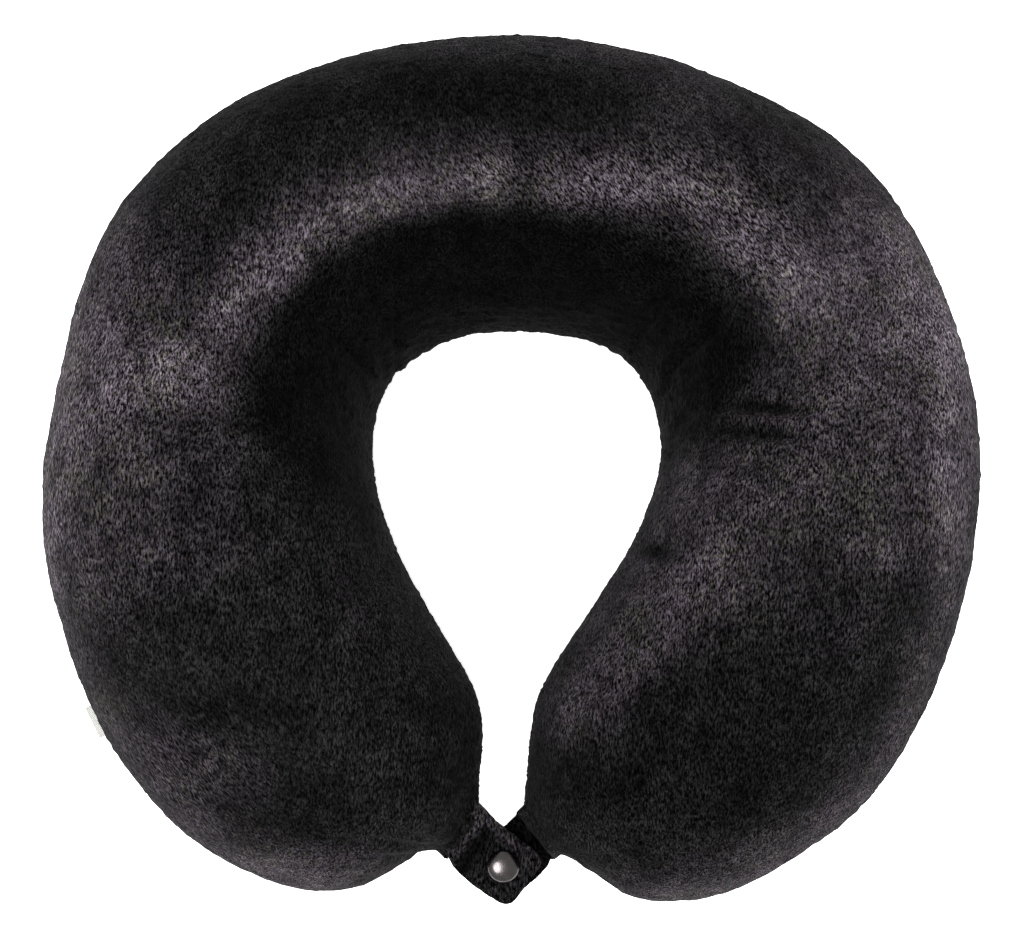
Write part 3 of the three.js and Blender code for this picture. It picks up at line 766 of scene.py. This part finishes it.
def swell_at(along, around):
    """The simulated move, between the coarse cover's points."""
    row = np.interp(along, SWELL_ALONG, np.arange(SIM_ROWS))
    column = np.mod(around, 1) * SIM_COLUMNS
    i = np.minimum(row.astype(int), SIM_ROWS - 2)
    j = column.astype(int) % SIM_COLUMNS
    u, v = smoothstep(row - i)[..., None], smoothstep(column - np.floor(column))[..., None]
    k = (j + 1) % SIM_COLUMNS
    near, far = (SWELL[i, c] * (1 - u) + SWELL[i + 1, c] * u for c in (j, k))
    return near * (1 - v) + far * v


# ---- Cover surface detail ----

# Short creases seen from above: middle x and y, half-length, half-width, turn, depth.
CREASES = [
    (77, 21.8, 11, 1.8, -4, 1.8), (75, 13.8, 12, 1.9, -4, 1.9),
    (76, 18, 11, 1.6, -4, -0.8), (70, 29, 9, 2.0, -6, 0.7),
    (62, 8, 9, 2.0, -10, 0.7), (47.6, -23.4, 5, 3.2, 40, 2.2),
    (-66, 24, 12, 3.0, 6, 0.5), (-40, -34, 12, 4.0, 62, 0.8),
    (-28, -118, 12, 1.6, -16, 1.3), (-30, -113, 12, 1.6, -24, 1.0),
    (-27, -123, 9, 1.4, -4, 1.1), (27, -114, 10, 1.6, 28, 1.0),
    (28, -120, 9, 1.5, 12, 0.9),
]
CREASE_TILT = 0.3  # creases fade out where the cover turns away from above
GATHERS = 13  # folds round each strap
GATHER_REACH, GATHER_START = 15, 7
GATHER_DEPTH = 0.75
GATHER_DROP = 3  # the folds' middle lies this far under the strap
SEAM_DIP, SEAM_DIP_REACH = 1.3, 2.2
PUCKER_DEPTH, PUCKER_REACH = 0.35, 5.0
PUCKER_LENGTH, PUCKER_DRIFT = 2.3, 9.0
BUTT_SEAM_X = -38.0  # the cover's cross seam on the inner slope
BUTT_SEAM_DEPTH, BUTT_SEAM_HALF_WIDTH = 0.8, 0.9
INNER_SLOPE = (20, 78, 60)  # lowest y, highest y and widest x of the inner slope
SLOPE_FADE = (4, 20)  # in y and in x
UNEVENNESS = [(0.4, 15, 1), (0.16, 4.5, 2)]  # depth, size and seed


def creased(points, facing_up):
    x, y = points[:, 0], points[:, 1]
    depth = np.zeros(len(points))
    for *stroke, deep in CREASES:
        p, q = in_stroke(x, y, stroke)
        depth += deep * np.exp(-(p**4) - q * q)
    return depth * smoothstep(facing_up / CREASE_TILT + 0.5)


def gathered(points):
    """Folds that run into each strap."""
    depth = np.zeros(len(points))
    for side, strap in STRAPS.items():
        off = points - np.array([*strap.root, strap.height - GATHER_DROP])
        away = np.linalg.norm(off, axis=1)
        across = off[:, :2] @ np.array([-strap.direction[1], strap.direction[0]])
        angle = np.arctan2(off[:, 2], across)
        wave = np.cos(GATHERS * angle + 1.3 * np.sin(2 * angle + SIGN[side]))
        depth += GATHER_DEPTH * bell(away, GATHER_REACH) * smoothstep(away / GATHER_START) * wave
    return depth


def detail_depth(points, normals, seam_distance, run):
    """How far each cover point sinks below the smooth shape."""
    depth = creased(points, normals[:, 2]) + gathered(points)
    pucker = PUCKER_DEPTH * np.sin(run / PUCKER_LENGTH + 2.0 * np.sin(run / PUCKER_DRIFT))
    depth += bell(seam_distance, SEAM_DIP_REACH) * SEAM_DIP
    depth += bell(seam_distance, PUCKER_REACH) * pucker
    x, y = points[:, 0], points[:, 1]
    (front, back, side), (fade_y, fade_x) = INNER_SLOPE, SLOPE_FADE
    on_slope = smoothstep((back - y) / fade_y) * (y > front) * smoothstep((side - np.abs(x)) / fade_x)
    depth += BUTT_SEAM_DEPTH * bell(x - BUTT_SEAM_X, BUTT_SEAM_HALF_WIDTH) * on_slope
    for deep, size, seed in UNEVENNESS:
        depth += deep * roughened(points, size, seed)
    return depth


ZIP_HOLD_PAST, ZIP_HOLD_EASE = 6, 5  # degrees past the zip's ends
ZIP_HOLD_BAND, ZIP_HOLD_FADE = 4, 7  # width of the stitched band and of its fade
ZIP_WALL = 30  # only cloth less than this far inside the zip is held
PILE_FUZZ = 0.16  # random height of each point's tuft
PILE_HELD = 0.9  # how much of it the stitching takes away
ZIP_SINK = {"upper": 0.6, "lower": 1.0}  # extra depth of the cover's folded edge beside the zip
ZIP_SINK_EASE = (13, 21)  # degrees between which the sink halves, as the wall falls back there
FAR_FROM_SEAM = 99.0
FLOOR_BAND, FLOOR_GAP = 0.6, 0.02  # cloth this low lies smooth, and no lower than the gap


def held_by_zip(points, seam_distance):
    """How much the stitching along the zip keeps the cover flat there."""
    radius = np.hypot(points[..., 0], points[..., 1] - BACK_ARC_Y)
    beside = smoothstep((ZIP_HALF_ANGLE + ZIP_HOLD_PAST - np.abs(turn_at(points))) / ZIP_HOLD_EASE)
    band = bell(np.maximum(seam_distance - ZIP_HOLD_BAND, 0), ZIP_HOLD_FADE)
    return beside * (radius > ZIP_RADIUS - ZIP_WALL) * band


def zip_sink(points, part):
    """Halves the sink towards the zip's right end, where the wall itself falls back."""
    start, stop = ZIP_SINK_EASE
    return ZIP_SINK[part] * (1 - 0.5 * smoothstep((turn_at(points) - start) / (stop - start)))


def cover_grid(part):
    """Points of one part of the cover, all along the U, and its row at the middle of the back."""
    out, into = SEAMS[part]
    if part == "upper":
        columns = UPPER_COLUMNS
        start, stop = out, into
        rows = np.arange(ROWS)
    else:
        columns = LOWER_COLUMNS
        start, stop = into, out + 1
        rows = np.flatnonzero(CLOSING > 0)
        rows = np.arange(rows[0] - 1, rows[-1] + 2)
    share = np.linspace(0, 1, columns)
    around = start[rows, None] + (stop - start)[rows, None] * share[None, :]
    along = np.repeat(ALONG[rows, None], columns, axis=1)
    points = surface(along, around)
    normals = outward(along, around)
    width = np.linalg.norm(np.diff(points, axis=1), axis=-1)
    run_in = np.concatenate([np.zeros((len(rows), 1)), np.cumsum(width, axis=1)], axis=1)
    seam = np.minimum(run_in, run_in[:, -1:] - run_in)
    seam = np.where((CLOSING[rows] > 0)[:, None], seam, FAR_FROM_SEAM)
    run = np.repeat(RUN[rows, None], columns, axis=1)
    held = held_by_zip(points, seam)
    grid = (points + swell_at(along, around) * (1 - held)[..., None]).reshape(-1, 3)
    sunk = detail_depth(grid, normals.reshape(-1, 3), seam.ravel(), run.ravel())
    sunk = sunk * (1 - held.ravel()) + zip_sink(grid, part) * held.ravel()
    fuzz = np.random.default_rng(SEED).normal(0, PILE_FUZZ, len(grid)) * (1 - PILE_HELD * held.ravel())
    on_floor = grid[:, 2] < FLOOR_BAND
    grid = grid - normals.reshape(-1, 3) * (sunk + np.where(on_floor, 0, fuzz))[:, None]
    grid[:, 2] = np.maximum(grid[:, 2], FLOOR_GAP)
    grid = grid.reshape(len(rows), columns, 3)
    if part == "upper":
        closed = CLOSING[rows] <= 0
        grid[closed, -1] = grid[closed, 0]
        left = end_rings("left", grid[0], around[0])
        right = end_rings("right", grid[-1], around[-1])
        grid = np.concatenate([np.array(left[::-1]), grid, np.array(right)])
        middle = END_ROWS + ROWS // 2
    else:
        grid[0] = grid[0].mean(0)
        grid[-1] = grid[-1].mean(0)
        middle = ROWS // 2 - rows[0]
    return grid, middle


SEAM_EDGE = 0.45  # points this close to the seam's height are its edge
SEAM_ALLOWANCE = 0.3  # cloth turned in past the seam, which hides the filling
COVER_THICKNESS = 1.3
INNER_FLOOR = 0.3  # lowest point of the cloth's inner face
INSIDE_HEIGHT = 40  # of a point inside the pillow, to tell the faces' outer side


def cover_half(name, grid, rows):
    """One side of a cover part as a thick shell, shaded as one with its other side."""
    columns = grid.shape[1]
    whole, faces = welded(grid.reshape(-1, 3), grid_faces(len(grid), columns))
    probe = bpy.data.meshes.new("probe")
    probe.from_pydata(whole.tolist(), [], faces)
    probe.update()
    normals = np.array([v.vector for v in probe.vertex_normals])
    bpy.data.meshes.remove(probe)
    place = {tuple(key): i for i, key in enumerate(keyed(whole))}
    points, faces = welded(grid[rows].reshape(-1, 3), grid_faces(len(rows), columns))
    outer_normals = normals[[place[tuple(key)] for key in keyed(points)]]
    if (outer_normals * (points - [0, 0, INSIDE_HEIGHT])).sum() < 0:
        faces = [f[::-1] for f in faces]
        outer_normals = -outer_normals
    inner = points - outer_normals * COVER_THICKNESS
    inner[:, 2] = np.maximum(inner[:, 2], INNER_FLOOR)
    at_seam = np.abs(points[:, 2] - SEAM_Z) < SEAM_EDGE
    past_seam = np.where(points[:, 2] > SEAM_Z, -SEAM_ALLOWANCE, SEAM_ALLOWANCE)
    inner[:, 2] = np.where(at_seam, SEAM_Z + past_seam, inner[:, 2])
    count = len(points)
    edges = dict.fromkeys((a, b) for f in faces for a, b in zip(f, f[1:] + f[:1]))
    rim = [[b, a, a + count, b + count] for a, b in edges if (b, a) not in edges]
    both = np.vstack([points, inner])
    shell = faces + [[c + count for c in f[::-1]] for f in faces] + rim
    # Painted sheen and shade, with the pile's own patches, go in as a per-point grey level.
    looks = {"nap_sheen_and_shade": from_display(nap_sheen_and_shade_level(both)) / LIGHT_LEVEL, "lean": pile_lean(both)}
    return mesh_object(name, both, shell, VELOUR, looks, np.vstack([outer_normals, -outer_normals]))


covers = {}
for part in ("upper", "lower"):
    grid, middle = cover_grid(part)
    for side, rows in (("left", np.arange(0, middle + 1)), ("right", np.arange(middle, len(grid)))):
        covers[part, side] = cover_half(f"cover_{part}_{side}", grid, rows)


# ---- Liner and foam ----

FILLING_ROWS, FILLING_COLUMNS = 61, 40
FILLING_GAP = 0.1  # from the middle of the back to each half
FILLINGS = {  # depth under the cover, share left out at the strap, material, CAD node, slot
    "liner": (3.4, 0.006, KNIT, "liner", "knit_liner"),
    "foam": (4.8, 0.01, FOAM, "foam_core", "memory_foam"),
}


def filling_half(name, side, depth, short, material):
    """Half of the stuffing, cut square at the middle of the back."""
    along, _ = even_shares(2 * FILLING_ROWS - 1)
    half = along[:FILLING_ROWS] if side == "left" else along[FILLING_ROWS - 1 :]
    end = 0 if side == "left" else -1
    half[end] += short if side == "left" else -short
    around = np.arange(FILLING_COLUMNS) / FILLING_COLUMNS
    a, r = np.meshgrid(half, around, indexing="ij")
    rings = surface(a, r) - outward(a, r) * depth
    rings[..., 2] = np.maximum(rings[..., 2], depth)
    cut = -1 if side == "left" else 0
    rings[cut, :, 0] = SIGN[side] * FILLING_GAP
    return closed_body(name, rings, material)


fillings = {}
for side in ("left", "right"):
    for kind, (depth, short, material, _, _) in FILLINGS.items():
        fillings[kind, side] = filling_half(f"{kind}_{side}", side, depth, short, material)


# ---- Straps ----

STRAP_ROWS, STRAP_HALF_COLUMNS = 90, 44
STRAP_INSIDE = 3.5  # length hidden in the cover's end
STRAP_ROOT = 2.5  # half the length about the strap's fold line, where it is sewn in
STRAP_CORNER = 4.2
STRAP_WAIST = 0.5
STRAP_FLARE = {"left": 1.8, "right": 0.2}  # how much wider the neck's side is at the arm
STRAP_BOW = {"left": 0.3, "right": -1.0}  # and halfway along
STRAP_OUTER_BOW, STRAP_OUTER_ROOT = 0.9, 1.4  # the other side: halfway along, and taken off at the arm
STRAP_PLUSH = {  # swells across the strap: place along it, slant, half-width, height
    "left": [(2.0, 0.06, 1.9, 1.5), (6.4, 0, 2.2, -0.7)],
    "right": [(1.0, 0, 2.5, 0.5)],
}
STRAP_HEM = {"left": 0.45, "right": 0.2}
HEM_INSET, HEM_HALF_WIDTH = 2.2, 1.3
SNAP_DISH = {"left": (0.5, 7.5), "right": (0, 7.5)}  # depth and reach of the dent round the snap
STRAP_ROUGHNESS = [(1.6, 3, 0.14), (4.0, 4, 0.2)]  # size, seed and height
STRAP_EDGE_ROUGHNESS = 0.22


def strap_sheen_and_shade(side, x, y):
    """Grey level of the pile by place on the strap: a painted highlight on the left strap's raised
    ridge and along one edge, painted shade in its dip, and painted shadow on the right strap where it
    runs below the left one, lighter past the snap.
    """
    if side == "left":
        ridge, dip = bell(x - 2.0, 1.8), bell(x - 6.6, 2.4) * (y < 7)
        rim = bell(y - STRAP_WIDTH / 2 + 1.8, 2.0)
        return 0.11 + 0.07 * ridge - 0.08 * dip + 0.05 * rim
    return 0.04 + 0.1 * smoothstep((x - STRAPS[side].reach) / 6)


def strap_object(side):
    strap = STRAPS[side]
    length = strap.reach + STRAP_PAST_SNAP
    s = np.linspace(-STRAP_INSIDE, length, STRAP_ROWS)
    past = np.clip((s - (length - STRAP_CORNER)) / STRAP_CORNER, 0, 1)
    half_width = STRAP_WIDTH / 2 - STRAP_CORNER * 0.8 * (1 - np.sqrt(1 - past**2))
    half_width = half_width - STRAP_WAIST * bell(s - 2, 4)
    root, midway = np.maximum(s, 0), np.sin(np.pi * np.clip(s / length, 0, 1))
    flare = STRAP_FLARE[side] * bell(root, 5) + STRAP_BOW[side] * midway
    bow = STRAP_OUTER_BOW * midway - STRAP_OUTER_ROOT * bell(root, 2.5)
    turn = np.linspace(0, 2 * np.pi, 2 * STRAP_HALF_COLUMNS, endpoint=False)
    across = np.sign(np.cos(turn)) * np.abs(np.cos(turn)) ** 0.85
    lift = np.sign(np.sin(turn)) * np.abs(np.sin(turn)) ** 0.6
    x = np.repeat(s[:, None], len(turn), axis=1)
    neck_side = -SIGN[side]
    y = half_width[:, None] * across + flare[:, None] * np.maximum(neck_side * across, 0) * neck_side
    y = y - bow[:, None] * np.maximum(-neck_side * across, 0) * neck_side
    z = STRAP_THICKNESS / 2 * np.sqrt(1 - 0.75 * past**4)[:, None] * lift
    raised = STRAP_HEM[side] * bell(np.abs(y) - STRAP_WIDTH / 2 + HEM_INSET, HEM_HALF_WIDTH)
    for place, slant, width, height in STRAP_PLUSH[side]:
        raised = raised + height * bell(x - place - slant * y, width)
    depth, reach = SNAP_DISH[side]
    raised = raised - depth * bell(np.hypot(x - strap.reach, y), reach)
    z = z + np.where(lift > 0, raised * np.abs(lift) ** 0.5, 0)
    flat = np.stack([x, y, z], -1)
    fine, coarse = (
        height * roughened(flat.reshape(-1, 3), size, seed).reshape(z.shape)
        for size, seed, height in STRAP_ROUGHNESS
    )
    flat[..., 2] += (fine + coarse) * np.sign(lift)
    flat[..., 1] += STRAP_EDGE_ROUGHNESS / STRAP_ROUGHNESS[0][2] * fine * np.sign(across)
    grid = np.vstack([flat.reshape(-1, 3), flat[0].mean(0), flat[-1].mean(0)])
    # The strap's painted highlight and shade go in as a per-point grey level.
    level = from_display(np.clip(strap_sheen_and_shade(side, grid[:, 0], grid[:, 1]), 0.02, 1))
    looks = {"nap_sheen_and_shade": level / LIGHT_LEVEL, "lean": np.full(len(grid), float(side == "right"))}
    return closed_body(f"strap_{side}", strap.place(flat), VELOUR, looks)


straps = {side: strap_object(side) for side in STRAPS}

# ---- Snap ----

UPPER_FACE = STRAP_THICKNESS / 2
SOCKET_BOTTOM = -UPPER_FACE - 2.9
LATHE_SEGMENTS = 72


def lathed(name, side, base, profile, material):
    """A round snap piece from radii and heights above `base`, itself above the strap's middle."""
    strap = STRAPS[side]
    angles = np.arange(LATHE_SEGMENTS) * 2 * np.pi / LATHE_SEGMENTS
    rings = [
        [(strap.reach + r * math.cos(a), r * math.sin(a), base + z) for a in angles]
        for r, z in profile
        if r > 0
    ]
    points, faces = closed_loft(rings)
    points[-2:, 2] = base + profile[0][1], base + profile[-1][1]
    points = strap.place(points)
    return mesh_object(name, points, facing_out(points, faces), material)


CAP_RADIUS, CAP_RIM, CAP_TOP = 5.25, 0.6, 2.9
cap_dome = [
    (CAP_RADIUS * math.cos(a) ** 0.85, CAP_RIM + (CAP_TOP - CAP_RIM) * math.sin(a))
    for a in np.radians(np.linspace(0, 86, 14))
]
snap_cap = lathed(
    "snap_cap_dome", "left", UPPER_FACE,
    [(0, -STRAP_THICKNESS), (1, -STRAP_THICKNESS), (1, 0.25), (4.8, 0.25), *cap_dome, (0, CAP_TOP)],
    GUNMETAL,
)
snap_socket = lathed(
    "snap_socket_ring", "left", SOCKET_BOTTOM,
    [
        (0, 1.9), (2.6, 1.9), (2.6, 1.6), (3.4, 1.6), (3.4, 0.9), (2.6, 0.9), (2.6, 0.1), (2.75, 0),
        (4.5, 0), (4.85, 0.15), (5, 0.5), (5, 2.1), (4.85, 2.45), (4.5, 2.6), (0, 2.6),
    ],
    NICKEL,
)
snap_stud = lathed(
    "snap_stud_post", "right", UPPER_FACE,
    [
        (0, 0.3), (4.9, 0.3), (5, 0.45), (4.95, 0.75), (4.6, 1), (1.6, 1.05), (1.3, 1.4),
        (1.35, 1.7), (1.75, 2.1), (1.8, 2.5), (1.5, 3), (0.8, 3.28), (0, 3.3),
    ],
    NICKEL,
)
snap_post = lathed(
    "snap_post_rivet", "right", -UPPER_FACE,
    [
        (0, -1.1), (3.9, -1.1), (4.45, -0.95), (4.7, -0.7), (4.65, -0.35), (4.5, -0.3), (1, -0.3),
        (1, STRAP_THICKNESS), (0, STRAP_THICKNESS),
    ],
    NICKEL,
)


def tube(path, radius, sides):
    """Rings round a path of points, for a closed loft."""
    path = np.asarray(path, float)
    ahead = unit(np.gradient(path, axis=0))
    side = unit(np.cross(ahead, [0.13, 0.21, 0.97]))
    up = np.cross(side, ahead)
    angles = np.arange(sides) * 2 * np.pi / sides
    c, s = np.cos(angles)[None, :, None], np.sin(angles)[None, :, None]
    return path[:, None, :] + radius * (c * side[:, None, :] + s * up[:, None, :])


SPRING_RADIUS, SPRING_WIRE, SPRING_UP = 2.75, 0.24, 1.25
turn = np.radians(np.linspace(30, 330, 61))
spring_x = STRAPS["left"].reach + SPRING_RADIUS * np.cos(turn)
spring_z = np.full(len(turn), SOCKET_BOTTOM + SPRING_UP)
spring_path = np.stack([spring_x, SPRING_RADIUS * np.sin(turn), spring_z], -1)
spring_rings = tube(STRAPS["left"].place(spring_path), SPRING_WIRE, 10)
snap_spring = closed_body("snap_spring_wire", spring_rings, STEEL)

# ---- Zip ----


def zip_point(up, out, degrees):
    """A point `up` the leaning wall and `out` from it, at an angle from the middle of the back."""
    angle = np.radians(degrees)
    radius = ZIP_RADIUS + up * math.sin(ZIP_LEAN) + out * math.cos(ZIP_LEAN)
    height = SEAM_Z + up * math.cos(ZIP_LEAN) - out * math.sin(ZIP_LEAN)
    x, y = radius * np.sin(angle), BACK_ARC_Y + radius * np.cos(angle)
    return np.stack(np.broadcast_arrays(x, y, height), -1)


# Half of the tape's section, up the wall and out of it; its edge dips under the cover.
TAPE_SECTION = [
    (0.3, -0.9), (1.4, -0.95), (2.6, -1.5), (3.7, -1.8),
    (3.7, -1.2), (2.6, -0.9), (1.4, -0.25), (0.3, -0.2),
]
TAPE_STEPS = 180
COIL_REACH = ZIP_HALF_ANGLE - 1
COIL_PITCH = 1.5
COIL_WIRE = 0.24
COIL_STEPS = 14  # points in each turn
COIL_UP, COIL_OUT = (0.68, 0.92), (0.66, 0.4)  # middle and half-size of the coil's section
tape_angles = np.linspace(-ZIP_HALF_ANGLE, ZIP_HALF_ANGLE, TAPE_STEPS)[:, None]
turns = 2 * math.radians(COIL_REACH) * ZIP_RADIUS / COIL_PITCH
zip_pieces = {}
for name, way in (("upper", 1), ("lower", -1)):
    up, out = np.array(TAPE_SECTION).T
    rings = zip_point(way * up[None, :], out[None, :], tape_angles)
    zip_pieces["tape", name] = closed_body(f"zip_cloth_{name}", rings, TAPE)
    t = np.linspace(0, 1, int(turns * COIL_STEPS))
    phase = 2 * np.pi * turns * t + (0 if way > 0 else np.pi)
    up = way * (COIL_UP[0] + COIL_UP[1] * np.cos(phase))
    out = COIL_OUT[0] + COIL_OUT[1] * np.sin(phase)
    path = zip_point(up, out, -COIL_REACH + 2 * COIL_REACH * t)
    zip_pieces["coil", name] = closed_body(f"zip_coil_wire_{name}", tube(path, COIL_WIRE, 7), NYLON)


# ---- Care label ----

LABEL_PLACE = np.array([-122.6, -81.0])
LABEL_TURN = math.radians(207)
LABEL_LENGTH, LABEL_WIDTH = 13.2, 11.0
LABEL_THICKNESS, LABEL_LOOP = 0.16, 0.3
LABEL_CURL, LABEL_RIPPLE = 1.4, 0.2


def label_object():
    """A blank strip folded double, with a soft loop at its free end."""
    straight = np.linspace(0, LABEL_LENGTH - LABEL_LOOP, 24)
    turn = np.linspace(np.pi / 2, -np.pi / 2, 12)
    out = np.concatenate([straight, straight[-1] + LABEL_LOOP * np.cos(turn), straight[::-1]])
    level = np.full(len(straight), LABEL_LOOP)
    up = np.concatenate([level, LABEL_LOOP * np.sin(turn), -level])
    up = up + LABEL_CURL * (out / LABEL_LENGTH) ** 2
    across = np.linspace(-LABEL_WIDTH / 2, LABEL_WIDTH / 2, 20)
    centre = np.stack([out, up], -1)
    ahead = unit(np.gradient(centre, axis=0))
    normal = np.stack([-ahead[:, 1], ahead[:, 0]], -1)
    c, s = math.cos(LABEL_TURN), math.sin(LABEL_TURN)

    def placed(p, y):
        z = SEAM_Z + p[1] + LABEL_RIPPLE * math.sin(y / 3.1 + p[0] / 4)
        return (LABEL_PLACE[0] + p[0] * c - y * s, LABEL_PLACE[1] + p[0] * s + y * c, z)

    rings = []
    for middle, half in zip(centre, normal * LABEL_THICKNESS / 2):
        top, bottom = middle + half, middle - half
        rings.append([placed(top, y) for y in across] + [placed(bottom, y) for y in across[::-1]])
    return closed_body("care_label_fold", rings, LABEL)


label = label_object()


# ---- Carried-over CAD hardware: the same solids with a better finish ----

EDGE_SOFTNESS = 0.12
for node in ("zip_slider", "zip_pull", "zip_top_stop", "zip_bottom_stop"):
    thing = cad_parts[node]
    thing.data.materials.clear()
    thing.data.materials.append(GUNMETAL)
    bevel = thing.modifiers.new("soft_edges", "BEVEL")
    bevel.width = EDGE_SOFTNESS * MM
    bevel.segments = 2
    bevel.limit_method = "ANGLE"

# ---- What rides on what ----


def bend(thing, side):
    outer, inner = (np.array(HALF[FLEX_STATION][k], float) for k in (0, 1))
    line = unit(outer - inner)
    middle = (outer + inner) / 2
    into_arm = np.array([line[1], -line[0]])
    if side == "left":
        middle, into_arm = middle * (-1, 1), into_arm * (-1, 1)
    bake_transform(thing)


for (part, side), thing in covers.items():
    bend(thing, side)
    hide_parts(f"cover_{part}_{side}_arm", f"cover_{part}_back")
for (kind, side), thing in fillings.items():
    node, slot = FILLINGS[kind][3:]
    bend(thing, side)
    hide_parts(f"{node}_{side}_arm", f"{node}_back")
for side, thing in straps.items():
    near, far = STRAPS[side].place([(-STRAP_ROOT, 0, 0), (STRAP_ROOT, 0, 0)]) * MM
    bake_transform(thing)
    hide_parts(f"tab_{side}")
rides = {
    "left_tab": [
        (snap_cap, "snap_cap", "dark_nickel"),
        (snap_socket, "snap_socket", "dark_nickel"),
        (snap_spring, "snap_spring", "spring_steel"),
    ],
    "right_tab": [(snap_stud, "snap_stud", "dark_nickel"), (snap_post, "snap_post", "dark_nickel")],
    "back": [
        (zip_pieces[kind, name], f"zip_{kind}_{name}", slot)
        for kind, slot in (("tape", "zip_tape_cloth"), ("coil", "zip_coil_nylon"))
        for name in ("upper", "lower")
    ],
    "left_arm": [(label, "care_label", "white_label")],
}
for body, pieces in rides.items():
    for thing, node, slot in pieces:
        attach(thing, body)
        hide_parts(node)

# ---- Stage ----

CAMERA_TURN = math.radians(1.75)
VIEW_WIDTH = 328.2
CAMERA_AIM = (0.39, 0.81, 45)
LENS, SENSOR = 120, 36
FLOOR_SIZE, FLOOR_GLOW = 60, 0.8  # metres, and its own light
SKY_LEVEL = 0.55

camera_data = bpy.data.cameras.new("camera")
camera_data.lens = LENS
camera_data.sensor_width = SENSOR
camera = shown("camera", camera_data)
distance = VIEW_WIDTH * LENS / SENSOR
camera.location = (Vector(CAMERA_AIM) + Vector((0, 0, distance))) * MM
camera.rotation_euler = (0, 0, CAMERA_TURN)
camera_data.clip_end = 20
bpy.context.scene.camera = camera

floor_nodes = Nodes("pale_floor")
place = floor_nodes.add("ShaderNodeTexCoord").outputs["Object"]
cloud = floor_nodes.noise(floor_nodes.mapping(place, (0.4, 0.4, 0.4)), detail=2.0)
floor_colour = floor_nodes.tinted((1.0, 1.0, 1.0), floor_nodes.remap(cloud, 0.3, 0.7, 0.93, 0.95))
floor_nodes.set(Base_Color=floor_colour, Roughness=0.9)
floor_nodes.set(Emission_Color=(1, 1, 1, 1), Emission_Strength=FLOOR_GLOW)
bpy.ops.mesh.primitive_plane_add(size=FLOOR_SIZE)
floor = bpy.context.object
floor.name = "floor"
floor.data.materials.append(floor_nodes.material)

world = bpy.data.worlds.new("studio")
bpy.context.scene.world = world
world.use_nodes = True
sky = world.node_tree.nodes["Background"].inputs
sky["Color"].default_value = (1, 1, 1, 1)
sky["Strength"].default_value = SKY_LEVEL


def light(name, kind, energy, location, target, size=None, angle=None, mirrored=True):
    data = bpy.data.lights.new(name, kind)
    data.energy = energy
    if size:
        data.shape = "DISK"
        data.size = size
    if angle:
        data.angle = math.radians(angle)
    lamp = shown(name, data)
    lamp.location = location
    lamp.visible_glossy = mirrored
    lamp.rotation_euler = (Vector(target) - Vector(location)).to_track_quat("-Z", "Y").to_euler()


light("overhead", "SUN", 2.6, (0, 0, 3), (0, 0, 0), angle=4, mirrored=False)
light("key", "AREA", 9, (-0.36, -0.28, 1.05), (0, -0.05, 0.05), size=0.55)
light("fill", "AREA", 5, (0.95, 0.25, 0.5), (0, 0, 0.05), size=0.5)

bpy.context.scene.view_settings.view_transform = "Standard"
